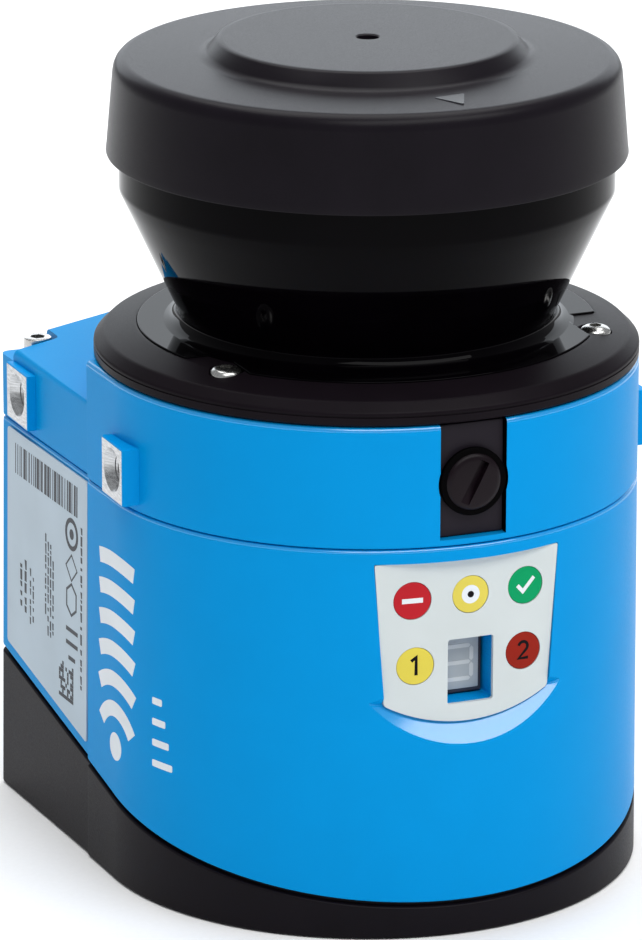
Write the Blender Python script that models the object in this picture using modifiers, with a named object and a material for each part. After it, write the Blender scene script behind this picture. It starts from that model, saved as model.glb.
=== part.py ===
"""Compact 2-D lidar scanner head: housing, optics, spinning mirror, status panel and service port.

All sizes below are in millimetres; MM turns them into Blender's metres when a mesh is made.
The mirror's spin axis is the world Z axis, the underside is at z = 0 and the front faces -Y.
"""
import math

import bmesh
import bpy
from mathutils import Matrix, Vector

MM = 0.001
GAP = 0.3                   # clearance between pieces that touch

# Housing plan: round front, flaring sides, flat back
FRONT_RADIUS = 49.5         # at the underside
CREASE_Y = 12.0             # where the side walls step in and start to flare
CREASE_HALF_WIDTH = 49.4
REAR_HALF_WIDTH = 50.9
REAR_Y = 56.5
CORNER_RADIUS = 1.8
FRONT_DRAFT = 0.5           # how far the round front leans in up to the seam
SIDE_DRAFT = 1.0            # the same for the flaring side walls
FRONT_STEPS = 20            # facets of the half circle
ROUND_STEPS = 40            # facets of the large turned parts
WALL = 3.5
BASE_WALL = 2.5
BASE_FLOOR = 3.5
RIM_GAP = 0.2               # half of the groove between base and lower housing
SEAM_GAP = 0.1              # half of the seam between the two casings
FAR = 60.0                  # a plane beyond the object on every side, for cutters

# Heights
SLANT_Z = 16.0              # base border: z = SLANT_Z + SLANT * y
SLANT = 0.2
SEAM_Z = 72.1
UPPER_TOP = 94.2
RING_BOTTOM = 94.5
RING_TOP = 100.0
FLANGE_TOP = 100.3
SCAN_Z = 116.0
WINDOW_TOP = 133.2
CAP_BOTTOM = 131.4
CAP_SHOULDER = 148.6
CAP_TOP = 151.9

# Rear deck of the upper housing
DECK_FLAT_HALF = 26.0
DECK_Z = 90.1
DECK_FALL = 0.177           # fall of the deck towards each side
POCKET_X = 40.7             # corner pockets for the deck screws
POCKET_Y = 49.6
POCKET_FLOOR = 84.0
DECK_SCREW = (43.9, 52.5)

# Side mounting pads, M5 threads 8 mm deep
PAD_X = 51.0
PAD_Z = (73.5, 84.0)
PAD_SPANS = {"front": (-10.7, -0.3), "rear": (38.8, 49.9)}
PAD_HOLE_Z = 79.0
PAD_HOLE_RADIUS = 2.5
PAD_HOLE_DEPTH = 8.0

# Window flange and its three screws
RING_RADIUS = 49.0
FLANGE_RADIUS = 41.2
NOTCH_X = 32.5
NOTCH_Y = 12.0
NOTCH_FLARE = 0.4           # the notch opens a little towards the flange's edge
REAR_NOTCH_HALF = 6.5
REAR_NOTCH_Y = 36.4
NOTCH_Z = (95.0, 101.5)
RING_SEAT_Z = 98.4          # floor under the heads of the cover screws
RING_SEAT_RADIUS = 3.1
COVER_SCREW_RADIUS = 41.3
COVER_SCREW_ANGLES = {"left": -149.0, "right": -31.0, "rear": 90.0}

# Status panel on the front of the lower housing
PANEL_TOP = 69.3
PANEL_TOP_HALF = 17.4
PANEL_SIDE_Z = 43.2
PANEL_SIDE_HALF = 15.6
PANEL_BOTTOM = 39.1
PANEL_THICKNESS = 0.8
PANEL_SEAT_GAP = 0.5        # glue gap behind the panel
PANEL_FRONT_Y = -47.4       # face of the panel at its top centre
PANEL_TILT = 0.2 / 30.2     # the panel sinks in a little towards its bottom
PANEL_RADIUS = 100.0
SCOOP_HALF = 18.4
SCOOP_TIP_Z = 43.9
SCOOP_BOTTOM = 35.5
SCOOP_FRONT_Y = -52.0       # the scoop is ruled on to here, in front of the housing
SCOOP_LID = 0.15
SCOOP_WALL_SINK = 0.25      # the scoop's outer arc starts this far inside the leaning wall
PANEL_CUT_Y = (-55.0, -42.0)
SEAT_Y = -40.2              # back face of the thick front wall
LAMPS = {
    "stop": (-10.6, 62.3),
    "warning": (0.2, 62.4),
    "ok": (10.9, 62.6),
    "output_1": (-10.0, 50.2),
    "output_2": (10.6, 50.5),
}
LAMP_RADIUS = 3.4
LAMP_ROD_RADIUS = 2.5
DISPLAY_X = (-4.0, 4.7)
DISPLAY_Z = (42.4, 54.4)
DISPLAY_FACE_Y = -42.6
DISPLAY_BACK_Y = -38.8
LAMP_BACK_Y = -39.4         # end of the light guides, just off the board's lamps
DISPLAY_BOARD_HALF = 19.0
DISPLAY_BOARD_Y = (-38.5, -36.9)
DISPLAY_BOARD_Z = (40.5, 69.5)
BOARD_LAMP_HALF = 0.8       # square lamps on the display board
BOARD_LAMP_Y = (-39.0, -38.2)

# Service port with its screw plug
PORT_HALF = 6.1
PORT_Z = (73.5, 93.9)
PLUG_Z = 83.4
PLUG_RADIUS = 6.15
PORT_PLATE_Y = (-47.4, -46.2)
PORT_POCKET_Y = -45.9       # back of the pocket that holds the plate
PORT_BORE_RADIUS = 4.3      # bore of the plate and the service socket
SERVICE_SOCKET_RADIUS = 5.6
SERVICE_SOCKET_Y = (-45.6, -34.0)
SERVICE_SOCKET_FLOOR = 38.0
SERVICE_PIN_OFFSET = 1.3
PLUG_SEAT_RADIUS = 5.8      # recess under the plug's head for its seal
PLUG_SHANK_RADIUS = 3.9
PLUG_SHANK_BORE = 2.9
PLUG_SLOT_HALF = (0.8, 4.2)
PLUG_SLOT_FLOOR_Y = -48.6
PLUG_SLOT_DEGREES = 20.0

# Rear connector bay in the base
BAY_HALF = 22.0
BAY_Z = (4.5, 19.0)
BAY_FRONT_Y = 41.5
SOCKET_HALF = 16.7
SOCKET_Z = (7.5, 16.5)
SOCKET_Y = (36.0, 49.0)
SOCKET_WALL = 1.5
SOCKET_FLOOR_Y = 42.0
SOCKET_SEAL_HALF = 19.5
SOCKET_PIN_ROWS = (10.6, 13.4)
SOCKET_PIN_COLUMNS = 8
SOCKET_PIN_PITCH = 3.5
SOCKET_PIN_Y = 44.5
PIN_WIDTH = 0.8             # square contact pins of both sockets
BAY_WALL = 2.5

# Circuit boards and their posts
BOARD_THICKNESS = 1.6
POWER_BOARD_Z = 24.0
MAIN_BOARD_Z = 46.0
BOARD_POSTS = [(-28.0, -16.0), (28.0, -16.0), (-28.0, 28.0), (28.0, 28.0)]
POST_RADIUS = 3.2
POST_THREAD_RADIUS = 1.6
BASE_BOSS_RADIUS = 4.2      # bosses of the lower housing for the base screws
BASE_SCREW_HOLE = 2.3
BASE_SCREW_HEAD_HOLE = 3.9
BASE_SCREW_SINK = 2.2
BOSS_OVERLAP = 1.0          # how far a boss runs into the wall it stands on
DECK_BOSS_RADIUS = 3.4
DECK_THREAD_RADIUS = 1.55
COVER_SCREW_HOLE = 1.9
BASE_SCREWS = {
    "front_left": (-32.2, -27.0),
    "front_right": (32.2, -27.0),
    "rear_left": (-42.9, 40.0),
    "rear_right": (42.9, 40.0),
}

# Hollows of the upper housing
CAVITY_TOP = 80.5
DRUM_CAVITY_RADIUS = 44.0
DRUM_CAVITY_TOP = 90.0
FRONT_CHORD_Y = -42.0       # inner face of the thick wall behind the port

# Optics column and rotor
TUBE_RADIUS = 18.5
LENS_RADIUS = 15.9
LASER_RADIUS = 4.2
BORE_RADIUS = 33.0
MIRROR_RADIUS = 13.5
CARRIER_TOP = 128.6
CARRIER_RADIUS = 14.0
BLOCK_FLANGE_Z = (87.0, 89.7)
BLOCK_FLANGE_RADIUS = 42.8
FLEX_SLOT_HALF = 5.0        # way through block and bracket for the flex cable
FLEX_HALF = 4.0
FLEX_THICKNESS = 0.35
BRACKET_TOP_Z = (142.0, 145.0)
BEARING_RADII = (3.6, 4.15, 5.0)    # inner race, outer race inside, outer race outside
BEARING_HEIGHT = 2.4
BEARING_SEAT_RADIUS = 5.3
BEARING_Z = {"upper": 145.1, "lower": 140.0}
ENCODER_SLOTS = 12
ENCODER_RADIUS = 19.4
ENCODER_SLOT_RADIUS = 17.2
SHAFT_RADIUS = 2.3
POST_Y = (22.0, 29.5)
POST_HALF = 8.0
WALL_INSIDE_PANEL = -38.0   # cutters for lamps and display end behind the front wall


def start_scene():
    """Empty the file and make one collection for the parts and one for the cutters."""
    for old in list(bpy.data.objects):
        bpy.data.objects.remove(old, do_unlink=True)
    parts = bpy.data.collections.new("lidar_scanner")
    cutters = bpy.data.collections.new("cutters")
    bpy.context.scene.collection.children.link(parts)
    bpy.context.scene.collection.children.link(cutters)
    return parts, cutters


PARTS, CUTTERS = start_scene()


def make_material(name, colour, roughness, metallic=0.0):
    """A plain Principled material."""
    material = bpy.data.materials.new(name)
    material.use_nodes = True
    shader = material.node_tree.nodes["Principled BSDF"]
    shader.inputs["Base Color"].default_value = (*colour, 1.0)
    shader.inputs["Roughness"].default_value = roughness
    shader.inputs["Metallic"].default_value = metallic
    return material


BLUE = make_material("housing_blue", (0.0, 0.29, 0.70), 0.35)
BASE_BLACK = make_material("base_black", (0.015, 0.013, 0.018), 0.55)
SATIN_BLACK = make_material("satin_black", (0.03, 0.027, 0.03), 0.45)
WINDOW_BLACK = make_material("window_black", (0.004, 0.004, 0.005), 0.06)
RUBBER = make_material("seal_rubber", (0.02, 0.02, 0.02), 0.8)
STEEL = make_material("screw_steel", (0.7, 0.7, 0.68), 0.25, 1.0)
ALUMINIUM = make_material("cast_aluminium", (0.6, 0.61, 0.62), 0.4, 1.0)
BRASS = make_material("laser_brass", (0.7, 0.5, 0.2), 0.3, 1.0)
PANEL_GREY = make_material("panel_grey", (0.62, 0.7, 0.74), 0.4)
PLATE_GREY = make_material("port_grey", (0.05, 0.045, 0.06), 0.5)
LABEL_SILVER = make_material("label_silver", (0.42, 0.52, 0.6), 0.4)
BOARD_GREEN = make_material("board_green", (0.01, 0.12, 0.05), 0.5)
GLASS = make_material("lens_glass", (0.75, 0.8, 0.85), 0.05)
MIRROR = make_material("mirror_silver", (0.95, 0.95, 0.95), 0.03, 1.0)
COPPER = make_material("motor_copper", (0.7, 0.3, 0.15), 0.35, 1.0)
FLEX = make_material("flex_amber", (0.6, 0.3, 0.05), 0.4)
DISPLAY_GREY = make_material("display_grey", (0.3, 0.32, 0.34), 0.4)
LAMP_COLOURS = {
    "stop": make_material("lamp_red", (0.61, 0.03, 0.04), 0.35),
    "warning": make_material("lamp_yellow", (0.85, 0.68, 0.08), 0.35),
    "ok": make_material("lamp_green", (0.0, 0.38, 0.11), 0.35),
    "output_1": make_material("lamp_amber", (0.85, 0.68, 0.08), 0.35),
    "output_2": make_material("lamp_brown", (0.42, 0.05, 0.02), 0.35),
}


# ------------------------------------------------------------------ modelling tools

def add_part(obj, name, material):
    """Keep an object as a part of the scanner."""
    CUTTERS.objects.unlink(obj)
    PARTS.objects.link(obj)
    obj.name = name
    obj.hide_render = False
    obj.display_type = "TEXTURED"
    obj.data.materials.clear()
    obj.data.materials.append(material)
    return obj


def guide(name, bm):
    """Turn a bmesh into a wire-drawn helper object."""
    bmesh.ops.recalc_face_normals(bm, faces=bm.faces)
    mesh = bpy.data.meshes.new(name)
    bm.to_mesh(mesh)
    bm.free()
    obj = bpy.data.objects.new(name, mesh)
    CUTTERS.objects.link(obj)
    obj.hide_render = True
    obj.display_type = "WIRE"
    return obj


def box(x_span, y_span, z_span):
    """A block between two corners."""
    bm = bmesh.new()
    bmesh.ops.create_cube(bm, size=1.0)
    low = Vector((x_span[0], y_span[0], z_span[0])) * MM
    high = Vector((x_span[1], y_span[1], z_span[1])) * MM
    size = high - low
    bmesh.ops.scale(bm, vec=size, verts=bm.verts)
    bmesh.ops.translate(bm, vec=(low + high) / 2, verts=bm.verts)
    return guide("box", bm)


def rod(radius, start, end, steps=12, end_radius=None):
    """A cylinder or cone between two points."""
    start = Vector(start) * MM
    end = Vector(end) * MM
    top = radius if end_radius is None else end_radius
    turn = Vector((0, 0, 1)).rotation_difference(end - start).to_matrix().to_4x4()
    place = Matrix.Translation((start + end) / 2) @ turn
    bm = bmesh.new()
    bmesh.ops.create_cone(bm, cap_ends=True, cap_tris=False, segments=steps, radius1=radius * MM,
                          radius2=top * MM, depth=(end - start).length, matrix=place)
    return guide("rod", bm)


def smooth(mesh, degrees=35.0):
    """Shade a mesh smooth up to a crease angle."""
    mesh.shade_smooth()
    mesh.set_sharp_from_angle(angle=math.radians(degrees))


def turned(profile, steps):
    """Spin (radius, height) points, listed down the outer side, about the Z axis."""
    bm = bmesh.new()
    points = [bm.verts.new((radius * MM, 0.0, height * MM)) for radius, height in profile]
    for first, second in zip(points, points[1:]):
        bm.edges.new((first, second))
    if profile[0][0] > 0 or profile[-1][0] > 0:
        bm.edges.new((points[-1], points[0]))
    mesh = bpy.data.meshes.new("turned")
    bm.to_mesh(mesh)
    bm.free()
    obj = bpy.data.objects.new("turned", mesh)
    CUTTERS.objects.link(obj)
    obj.hide_render = True
    obj.display_type = "WIRE"
    screw = obj.modifiers.new("Turn", "SCREW")
    screw.axis = "Z"
    screw.steps = steps
    screw.render_steps = steps
    screw.use_merge_vertices = True
    screw.merge_threshold = 0.00001
    return obj


def facing_front(obj, x, z):
    """Lay a turned object's axis along -Y through the point (x, z)."""
    obj.rotation_euler = (math.radians(90), 0.0, 0.0)
    obj.location = (x * MM, 0.0, z * MM)
    return obj


def ring_profile(inner, outer, bottom, top):
    """Square ring section for turned()."""
    return [(inner, top), (outer, top), (outer, bottom), (inner, bottom)]


def prism(outlines, bottom, top):
    """Flat closed outlines of (x, y) points, filled and pulled up from bottom to top."""
    curve = bpy.data.curves.new("prism", "CURVE")
    curve.dimensions = "2D"
    curve.fill_mode = "BOTH"
    curve.extrude = (top - bottom) / 2 * MM
    for outline in outlines:
        spline = curve.splines.new("POLY")
        spline.points.add(len(outline) - 1)
        for point, (x, y) in zip(spline.points, outline):
            point.co = (x * MM, y * MM, 0.0, 1.0)
        spline.use_cyclic_u = True
    flat = bpy.data.objects.new("prism", curve)
    CUTTERS.objects.link(flat)
    graph = bpy.context.evaluated_depsgraph_get()
    mesh = bpy.data.meshes.new_from_object(flat.evaluated_get(graph))
    bpy.data.objects.remove(flat)
    bm = bmesh.new()
    bm.from_mesh(mesh)
    bmesh.ops.remove_doubles(bm, verts=bm.verts, dist=0.00001)
    bmesh.ops.translate(bm, vec=(0.0, 0.0, (top + bottom) / 2 * MM), verts=bm.verts)
    bpy.data.meshes.remove(mesh)
    return guide("prism", bm)


def apply_boolean(obj, tool, operation):
    """Add one Boolean modifier to an object."""
    boolean = obj.modifiers.new(operation.title(), "BOOLEAN")
    boolean.operation = operation
    boolean.solver = "EXACT"
    boolean.object = tool


def cut(obj, *tools):
    """Subtract tools from an object."""
    for tool in tools:
        apply_boolean(obj, tool, "DIFFERENCE")


def join(obj, *tools):
    """Merge tools into an object."""
    for tool in tools:
        apply_boolean(obj, tool, "UNION")


def keep_inside(obj, tool):
    """Keep only what lies inside the tool."""
    apply_boolean(obj, tool, "INTERSECT")


def slab_on_plane(point_z, slope, thickness):
    """A wide slab whose lower face is the plane z = point_z + slope * y."""
    bm = bmesh.new()
    bmesh.ops.create_cube(bm, size=1.0)
    wide = 300.0 * MM
    bmesh.ops.scale(bm, vec=(wide, wide, abs(thickness) * MM), verts=bm.verts)
    bmesh.ops.translate(bm, vec=(0.0, 0.0, thickness / 2 * MM), verts=bm.verts)
    tilt = Matrix.Rotation(math.atan(slope), 4, "X")
    bmesh.ops.transform(bm, matrix=Matrix.Translation((0, 0, point_z * MM)) @ tilt, verts=bm.verts)
    return guide("slab", bm)


# ------------------------------------------------------------------ shared outlines

def housing_outline(inset=0.0):
    """Plan of the housing at its underside: half circle in front, flaring sides, flat back."""
    radius = FRONT_RADIUS - inset
    points = []
    for step in range(FRONT_STEPS + 1):
        angle = math.pi * (1 + step / FRONT_STEPS)
        points.append((radius * math.cos(angle), radius * math.sin(angle)))
    corner = max(CORNER_RADIUS - inset, 0.5)
    centre_x = REAR_HALF_WIDTH - inset - corner
    centre_y = REAR_Y - inset - corner
    right = [(radius + 0.3, CREASE_Y), (CREASE_HALF_WIDTH - inset, CREASE_Y + 0.6)]
    for degrees in (0, 30, 60, 90):
        turn = math.radians(degrees)
        right.append((centre_x + corner * math.cos(turn), centre_y + corner * math.sin(turn)))
    return points + right + [(-x, y) for x, y in reversed(right)]


def lean_in(obj):
    """Draft: walls lean in as they rise to the seam, and stay upright above it."""
    for vertex in obj.data.vertices:
        rise = min(max(vertex.co.z / (SEAM_Z * MM), 0.0), 1.0)
        if vertex.co.y <= (CREASE_Y + 0.1) * MM:
            shrink = 1.0 - FRONT_DRAFT / FRONT_RADIUS * rise
            vertex.co.x *= shrink
            vertex.co.y *= shrink
        else:
            vertex.co.x -= math.copysign(SIDE_DRAFT * MM * rise, vertex.co.x)
    return obj


def housing_prism(insets, bottom, top):
    """A leaning prism on the housing plan; a second inset hollows it to a tube."""
    return lean_in(prism([housing_outline(inset) for inset in insets], bottom, top))


def clip_front(outline, front_y):
    """Replace the part of an outline in front of a chord by the chord."""
    kept = []
    for first, second in zip(outline, outline[1:] + outline[:1]):
        inside = first[1] >= front_y
        if inside:
            kept.append(first)
        if inside != (second[1] >= front_y):
            share = (front_y - first[1]) / (second[1] - first[1])
            kept.append((first[0] + share * (second[0] - first[0]), front_y))
    return kept


def side_wall_x(y, z):
    """Half width of the flaring side wall at a height."""
    rear_start = REAR_Y - CORNER_RADIUS
    share = (y - CREASE_Y - 0.6) / (rear_start - CREASE_Y - 0.6)
    flare = CREASE_HALF_WIDTH + (REAR_HALF_WIDTH - CREASE_HALF_WIDTH) * share
    return flare - SIDE_DRAFT * min(z / SEAM_Z, 1.0)


def flange_outline(radius, gap):
    """Plan of the window flange: a disc with square notches round its three screws."""
    notch_x = NOTCH_X - gap
    notch_y = -NOTCH_Y + gap
    mouth_y = notch_y - NOTCH_FLARE
    rear_half = REAR_NOTCH_HALF + gap
    rear_y = REAR_NOTCH_Y - gap
    front_angle = math.asin(notch_x / radius)
    side_angle = math.asin(mouth_y / radius)
    rear_angle = math.acos(rear_half / radius)
    points = []
    for step in range(17):
        turn = -front_angle + 2 * front_angle * step / 16
        points.append((radius * math.sin(turn), -radius * math.cos(turn)))
    right = [(notch_x, notch_y)]
    for step in range(17):
        turn = side_angle + (rear_angle - side_angle) * step / 16
        right.append((radius * math.cos(turn), radius * math.sin(turn)))
    right.append((rear_half, rear_y))
    return points + right + [(-x, y) for x, y in reversed(right)]


def screw_place(angle):
    """Centre of a cover screw on its circle."""
    turn = math.radians(angle)
    return COVER_SCREW_RADIUS * math.cos(turn), COVER_SCREW_RADIUS * math.sin(turn)


def panel_face_y(x, z):
    """Front face of the curved, tilted status panel."""
    return PANEL_FRONT_Y + PANEL_TILT * (PANEL_TOP - z) + x * x / (2 * PANEL_RADIUS)


def bottom_arc(half, tip_z, bottom_z, steps=16):
    """Points of a hanging arc from left to right: (x, z)."""
    depth = tip_z - bottom_z
    radius = (half * half + depth * depth) / (2 * depth)
    sweep = math.asin(half / radius)
    arc = []
    for step in range(steps + 1):
        turn = -sweep + 2 * sweep * step / steps
        arc.append((radius * math.sin(turn), bottom_z + radius - radius * math.cos(turn)))
    return arc


def panel_outline(grow):
    """Front view of the status panel, grown by a clearance: (x, z)."""
    arc = bottom_arc(PANEL_SIDE_HALF + grow, PANEL_SIDE_Z, PANEL_BOTTOM - grow)
    top = PANEL_TOP + grow
    half = PANEL_TOP_HALF + grow
    return arc + [(half, top), (-half, top)]


def upright_prism(outline, front_y, back_y):
    """Pull an (x, z) outline through the depth from front_y to back_y."""
    obj = prism([outline], -back_y, -front_y)
    obj.data.transform(Matrix.Rotation(math.radians(90), 4, "X"))
    return obj


def curved_slab(front_offset, back_offset):
    """Tilted slab that follows the panel's curve between two depths behind its face."""
    half = 22.0
    steps = 16
    low_z = 30.0
    high_z = 75.0
    bm = bmesh.new()
    rows = []
    for z, offset in ((low_z, front_offset), (high_z, front_offset), (high_z, back_offset),
                      (low_z, back_offset)):
        row = []
        for step in range(steps + 1):
            x = half * (2 * step / steps - 1)
            row.append(bm.verts.new((x * MM, (panel_face_y(x, z) + offset) * MM, z * MM)))
        rows.append(row)
    for index in range(4):
        near, far = rows[index], rows[(index + 1) % 4]
        for step in range(steps):
            bm.faces.new((near[step], near[step + 1], far[step + 1], far[step]))
    for end in (0, -1):
        bm.faces.new([row[end] for row in rows])
    return guide("curved_slab", bm)


def scoop_cutter():
    """Crescent scoop: ruled from the panel's bottom edge out to a wider arc on the housing."""
    inner = bottom_arc(PANEL_SIDE_HALF, PANEL_SIDE_Z, PANEL_BOTTOM - GAP / 2)
    outer = bottom_arc(SCOOP_HALF, SCOOP_TIP_Z, SCOOP_BOTTOM)
    back = []
    front = []
    for (inner_x, inner_z), (outer_x, outer_z) in zip(inner, outer):
        back_y = panel_face_y(inner_x, inner_z) + PANEL_THICKNESS + PANEL_SEAT_GAP / 2
        wall_y = -math.sqrt((FRONT_RADIUS - SCOOP_WALL_SINK) ** 2 - outer_x ** 2)
        reach = (SCOOP_FRONT_Y - back_y) / (wall_y - back_y)
        back.append((inner_x, back_y, inner_z))
        front.append((inner_x + (outer_x - inner_x) * reach, SCOOP_FRONT_Y,
                      inner_z + (outer_z - inner_z) * reach))
    lid_front = [(x, y, front[0][2] + SCOOP_LID) for x, y, _ in front]
    lid_back = [(x, y, back[0][2] + SCOOP_LID) for x, y, _ in back]
    bm = bmesh.new()
    rows = [[bm.verts.new(Vector(point) * MM) for point in row]
            for row in (back, front, lid_front, lid_back)]
    for index in range(4):
        near, far = rows[index], rows[(index + 1) % 4]
        for step in range(len(near) - 1):
            bm.faces.new((near[step], near[step + 1], far[step + 1], far[step]))
    for end in (0, -1):
        bm.faces.new([row[end] for row in rows])
    bmesh.ops.triangulate(bm, faces=bm.faces)
    return guide("scoop", bm)


# ------------------------------------------------------------------ base

def base_shell():
    """Black tray with a slanted rim, the rear connector bay and the board posts."""
    shell = housing_prism([0.0], 0.0, 30.0)
    rebate = housing_prism([BASE_WALL / 2], -1.0, 40.0)
    cut(rebate, slab_on_plane(SLANT_Z - 2.0, SLANT, -60.0))
    cavity = housing_prism([BASE_WALL], BASE_FLOOR, 40.0)
    cut(shell, slab_on_plane(SLANT_Z - RIM_GAP, SLANT, FAR), rebate, cavity)
    join(shell, box((-BAY_HALF - BAY_WALL, BAY_HALF + BAY_WALL), (BAY_FRONT_Y - BAY_WALL, REAR_Y - 1.0),
                    (BASE_FLOOR - BOSS_OVERLAP, BAY_Z[1] + BAY_WALL)))
    for x, y in BOARD_POSTS:
        join(shell, rod(POST_RADIUS, (x, y, BASE_FLOOR - BOSS_OVERLAP), (x, y, POWER_BOARD_Z - GAP), 16))
    cut(shell, box((-BAY_HALF, BAY_HALF), (BAY_FRONT_Y, REAR_Y + 5.0), BAY_Z))
    cut(shell, box((-SOCKET_HALF - GAP, SOCKET_HALF + GAP), (30.0, BAY_FRONT_Y + 1.0),
                   (SOCKET_Z[0] - GAP, SOCKET_Z[1] + GAP)))
    for x, y in BOARD_POSTS:
        cut(shell, rod(POST_THREAD_RADIUS, (x, y, 18.0), (x, y, POWER_BOARD_Z + 1.0), 12))
    for x, y in BASE_SCREWS.values():
        cut(shell, rod(BASE_SCREW_HEAD_HOLE, (x, y, -1.0), (x, y, BASE_SCREW_SINK), 12))
        cut(shell, rod(BASE_SCREW_HOLE, (x, y, 1.0), (x, y, BASE_FLOOR + 1.0), 12))
    return add_part(shell, "base_shell", BASE_BLACK)


def base_gasket():
    """Flat seal in the rim between base and housing."""
    seal = housing_prism([BASE_WALL / 2 + GAP, BASE_WALL - 0.1], 0.0, 40.0)
    cut(seal, slab_on_plane(SLANT_Z - 0.15, SLANT, 60.0))
    cut(seal, slab_on_plane(SLANT_Z - 1.7, SLANT, -60.0))
    return add_part(seal, "base_gasket", RUBBER)


def base_screw(name, x, y):
    """Pan-head screw from the underside into the housing boss."""
    profile = [(0, 15.0), (2.0, 15.0), (2.0, 1.9), (3.5, 1.9), (3.5, 0.6), (3.1, 0.3), (0, 0.3)]
    screw = turned(profile, 12)
    screw.location = (x * MM, y * MM, 0.0)
    cut(screw, rod(1.3, (x, y, -1.0), (x, y, 1.4), 6))
    return add_part(screw, "base_screw_" + name, STEEL)


def system_socket():
    """Rear connector insert with two rows of contact pins."""
    body = box((-SOCKET_HALF, SOCKET_HALF), SOCKET_Y, SOCKET_Z)
    recess = box((-SOCKET_HALF + SOCKET_WALL, SOCKET_HALF - SOCKET_WALL), (SOCKET_FLOOR_Y, FAR),
                 (SOCKET_Z[0] + SOCKET_WALL, SOCKET_Z[1] - SOCKET_WALL))
    cut(body, recess)
    pins = bmesh.new()
    first_x = -SOCKET_PIN_PITCH * (SOCKET_PIN_COLUMNS - 1) / 2
    size = Vector((PIN_WIDTH, 6.0, PIN_WIDTH)) * MM
    for row_z in SOCKET_PIN_ROWS:
        for column in range(SOCKET_PIN_COLUMNS):
            pin_x = first_x + SOCKET_PIN_PITCH * column
            place = Matrix.Translation(Vector((pin_x, SOCKET_PIN_Y, row_z)) * MM)
            scale = Matrix.Diagonal((*size, 1.0))
            bmesh.ops.create_cube(pins, size=1.0, matrix=place @ scale)
    join(body, guide("pins", pins))
    return add_part(body, "system_socket", SATIN_BLACK)


def socket_seal():
    """Rubber frame round the connector insert."""
    seal = box((-SOCKET_SEAL_HALF, SOCKET_SEAL_HALF), (BAY_FRONT_Y + GAP, BAY_FRONT_Y + 1.5),
               (SOCKET_Z[0] - 2.4, SOCKET_Z[1] + 2.2))
    cut(seal, box((-SOCKET_HALF - GAP, SOCKET_HALF + GAP), (30.0, FAR),
                  (SOCKET_Z[0] - GAP, SOCKET_Z[1] + GAP)))
    return add_part(seal, "socket_seal", RUBBER)


# ------------------------------------------------------------------ lower housing and status panel

def lower_housing():
    """Blue casing between the slanted base rim and the seam."""
    inner = clip_front(housing_outline(WALL), SEAT_Y)
    shell = lean_in(prism([housing_outline(), inner], 2.0, SEAM_Z - SEAM_GAP))
    for x, y in BASE_SCREWS.values():
        join(shell, rod(BASE_BOSS_RADIUS, (x, y, BASE_FLOOR + GAP), (x, y, 20.0 if y < 0 else 40.0), 12))
    for side in (-1, 1):
        x = side * DECK_SCREW[0]
        y = DECK_SCREW[1]
        join(shell, rod(DECK_BOSS_RADIUS, (x, y, 52.0), (x, y, SEAM_Z - 2.0), 12))
    below_rim = housing_prism([-5.0], -5.0, 40.0)
    cut(below_rim, slab_on_plane(SLANT_Z + RIM_GAP, SLANT, 90.0))
    for x, y in BASE_SCREWS.values():
        cut(below_rim, rod(BASE_BOSS_RADIUS + GAP, (x, y, BASE_FLOOR), (x, y, 45.0), 12))
    cut(shell, below_rim)
    cut(shell, housing_prism([WALL / 2 - 0.3], SEAM_Z - 1.6, SEAM_Z + 5.0))
    pocket = upright_prism(panel_outline(GAP), *PANEL_CUT_Y)
    keep_inside(pocket, curved_slab(-20.0, PANEL_THICKNESS + PANEL_SEAT_GAP))
    cut(shell, pocket, scoop_cutter())
    for x, z in LAMPS.values():
        cut(shell, rod(LAMP_ROD_RADIUS + GAP, (x, SCOOP_FRONT_Y, z), (x, WALL_INSIDE_PANEL, z), 12))
    cut(shell, box(DISPLAY_X, (SCOOP_FRONT_Y, WALL_INSIDE_PANEL), DISPLAY_Z))
    for x, y in BASE_SCREWS.values():
        cut(shell, rod(BASE_SCREW_HOLE, (x, y, 0.0), (x, y, 16.0), 12))
    for side in (-1, 1):
        x = side * DECK_SCREW[0]
        y = DECK_SCREW[1]
        cut(shell, rod(DECK_THREAD_RADIUS, (x, y, 57.0), (x, y, SEAM_Z + 2.0), 12))
    return add_part(shell, "lower_housing", BLUE)


def housing_gasket():
    """Seal in the seam between the two casings."""
    seal = housing_prism([WALL / 2, WALL - 0.9], SEAM_Z - 1.3, SEAM_Z - SEAM_GAP)
    return add_part(seal, "housing_gasket", RUBBER)


def status_panel():
    """Curved light-grey overlay with lamp holes and the display opening."""
    panel = upright_prism(panel_outline(0.0), *PANEL_CUT_Y)
    keep_inside(panel, curved_slab(0.0, PANEL_THICKNESS))
    for x, z in LAMPS.values():
        cut(panel, rod(LAMP_RADIUS + GAP, (x, SCOOP_FRONT_Y, z), (x, WALL_INSIDE_PANEL, z), 16))
    cut(panel, box(DISPLAY_X, (SCOOP_FRONT_Y, WALL_INSIDE_PANEL), DISPLAY_Z))
    return add_part(panel, "status_panel", PANEL_GREY)


def lamp(name, x, z):
    """Lens with a light guide that runs back to the display board."""
    face = -panel_face_y(x, z)
    profile = [(0, face), (LAMP_RADIUS, face - 0.05), (LAMP_RADIUS, face - PANEL_THICKNESS),
               (LAMP_ROD_RADIUS, face - PANEL_THICKNESS), (LAMP_ROD_RADIUS, -LAMP_BACK_Y), (0, -LAMP_BACK_Y)]
    lens = facing_front(turned(profile, 16), x, z)
    return add_part(lens, "lamp_" + name, LAMP_COLOURS[name])


def display_module():
    """Seven-segment display in its own small case."""
    body = box((DISPLAY_X[0] + GAP, DISPLAY_X[1] - GAP), (DISPLAY_FACE_Y, DISPLAY_BACK_Y),
               (DISPLAY_Z[0] + GAP, DISPLAY_Z[1] - GAP))
    return add_part(body, "display_module", DISPLAY_GREY)


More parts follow.
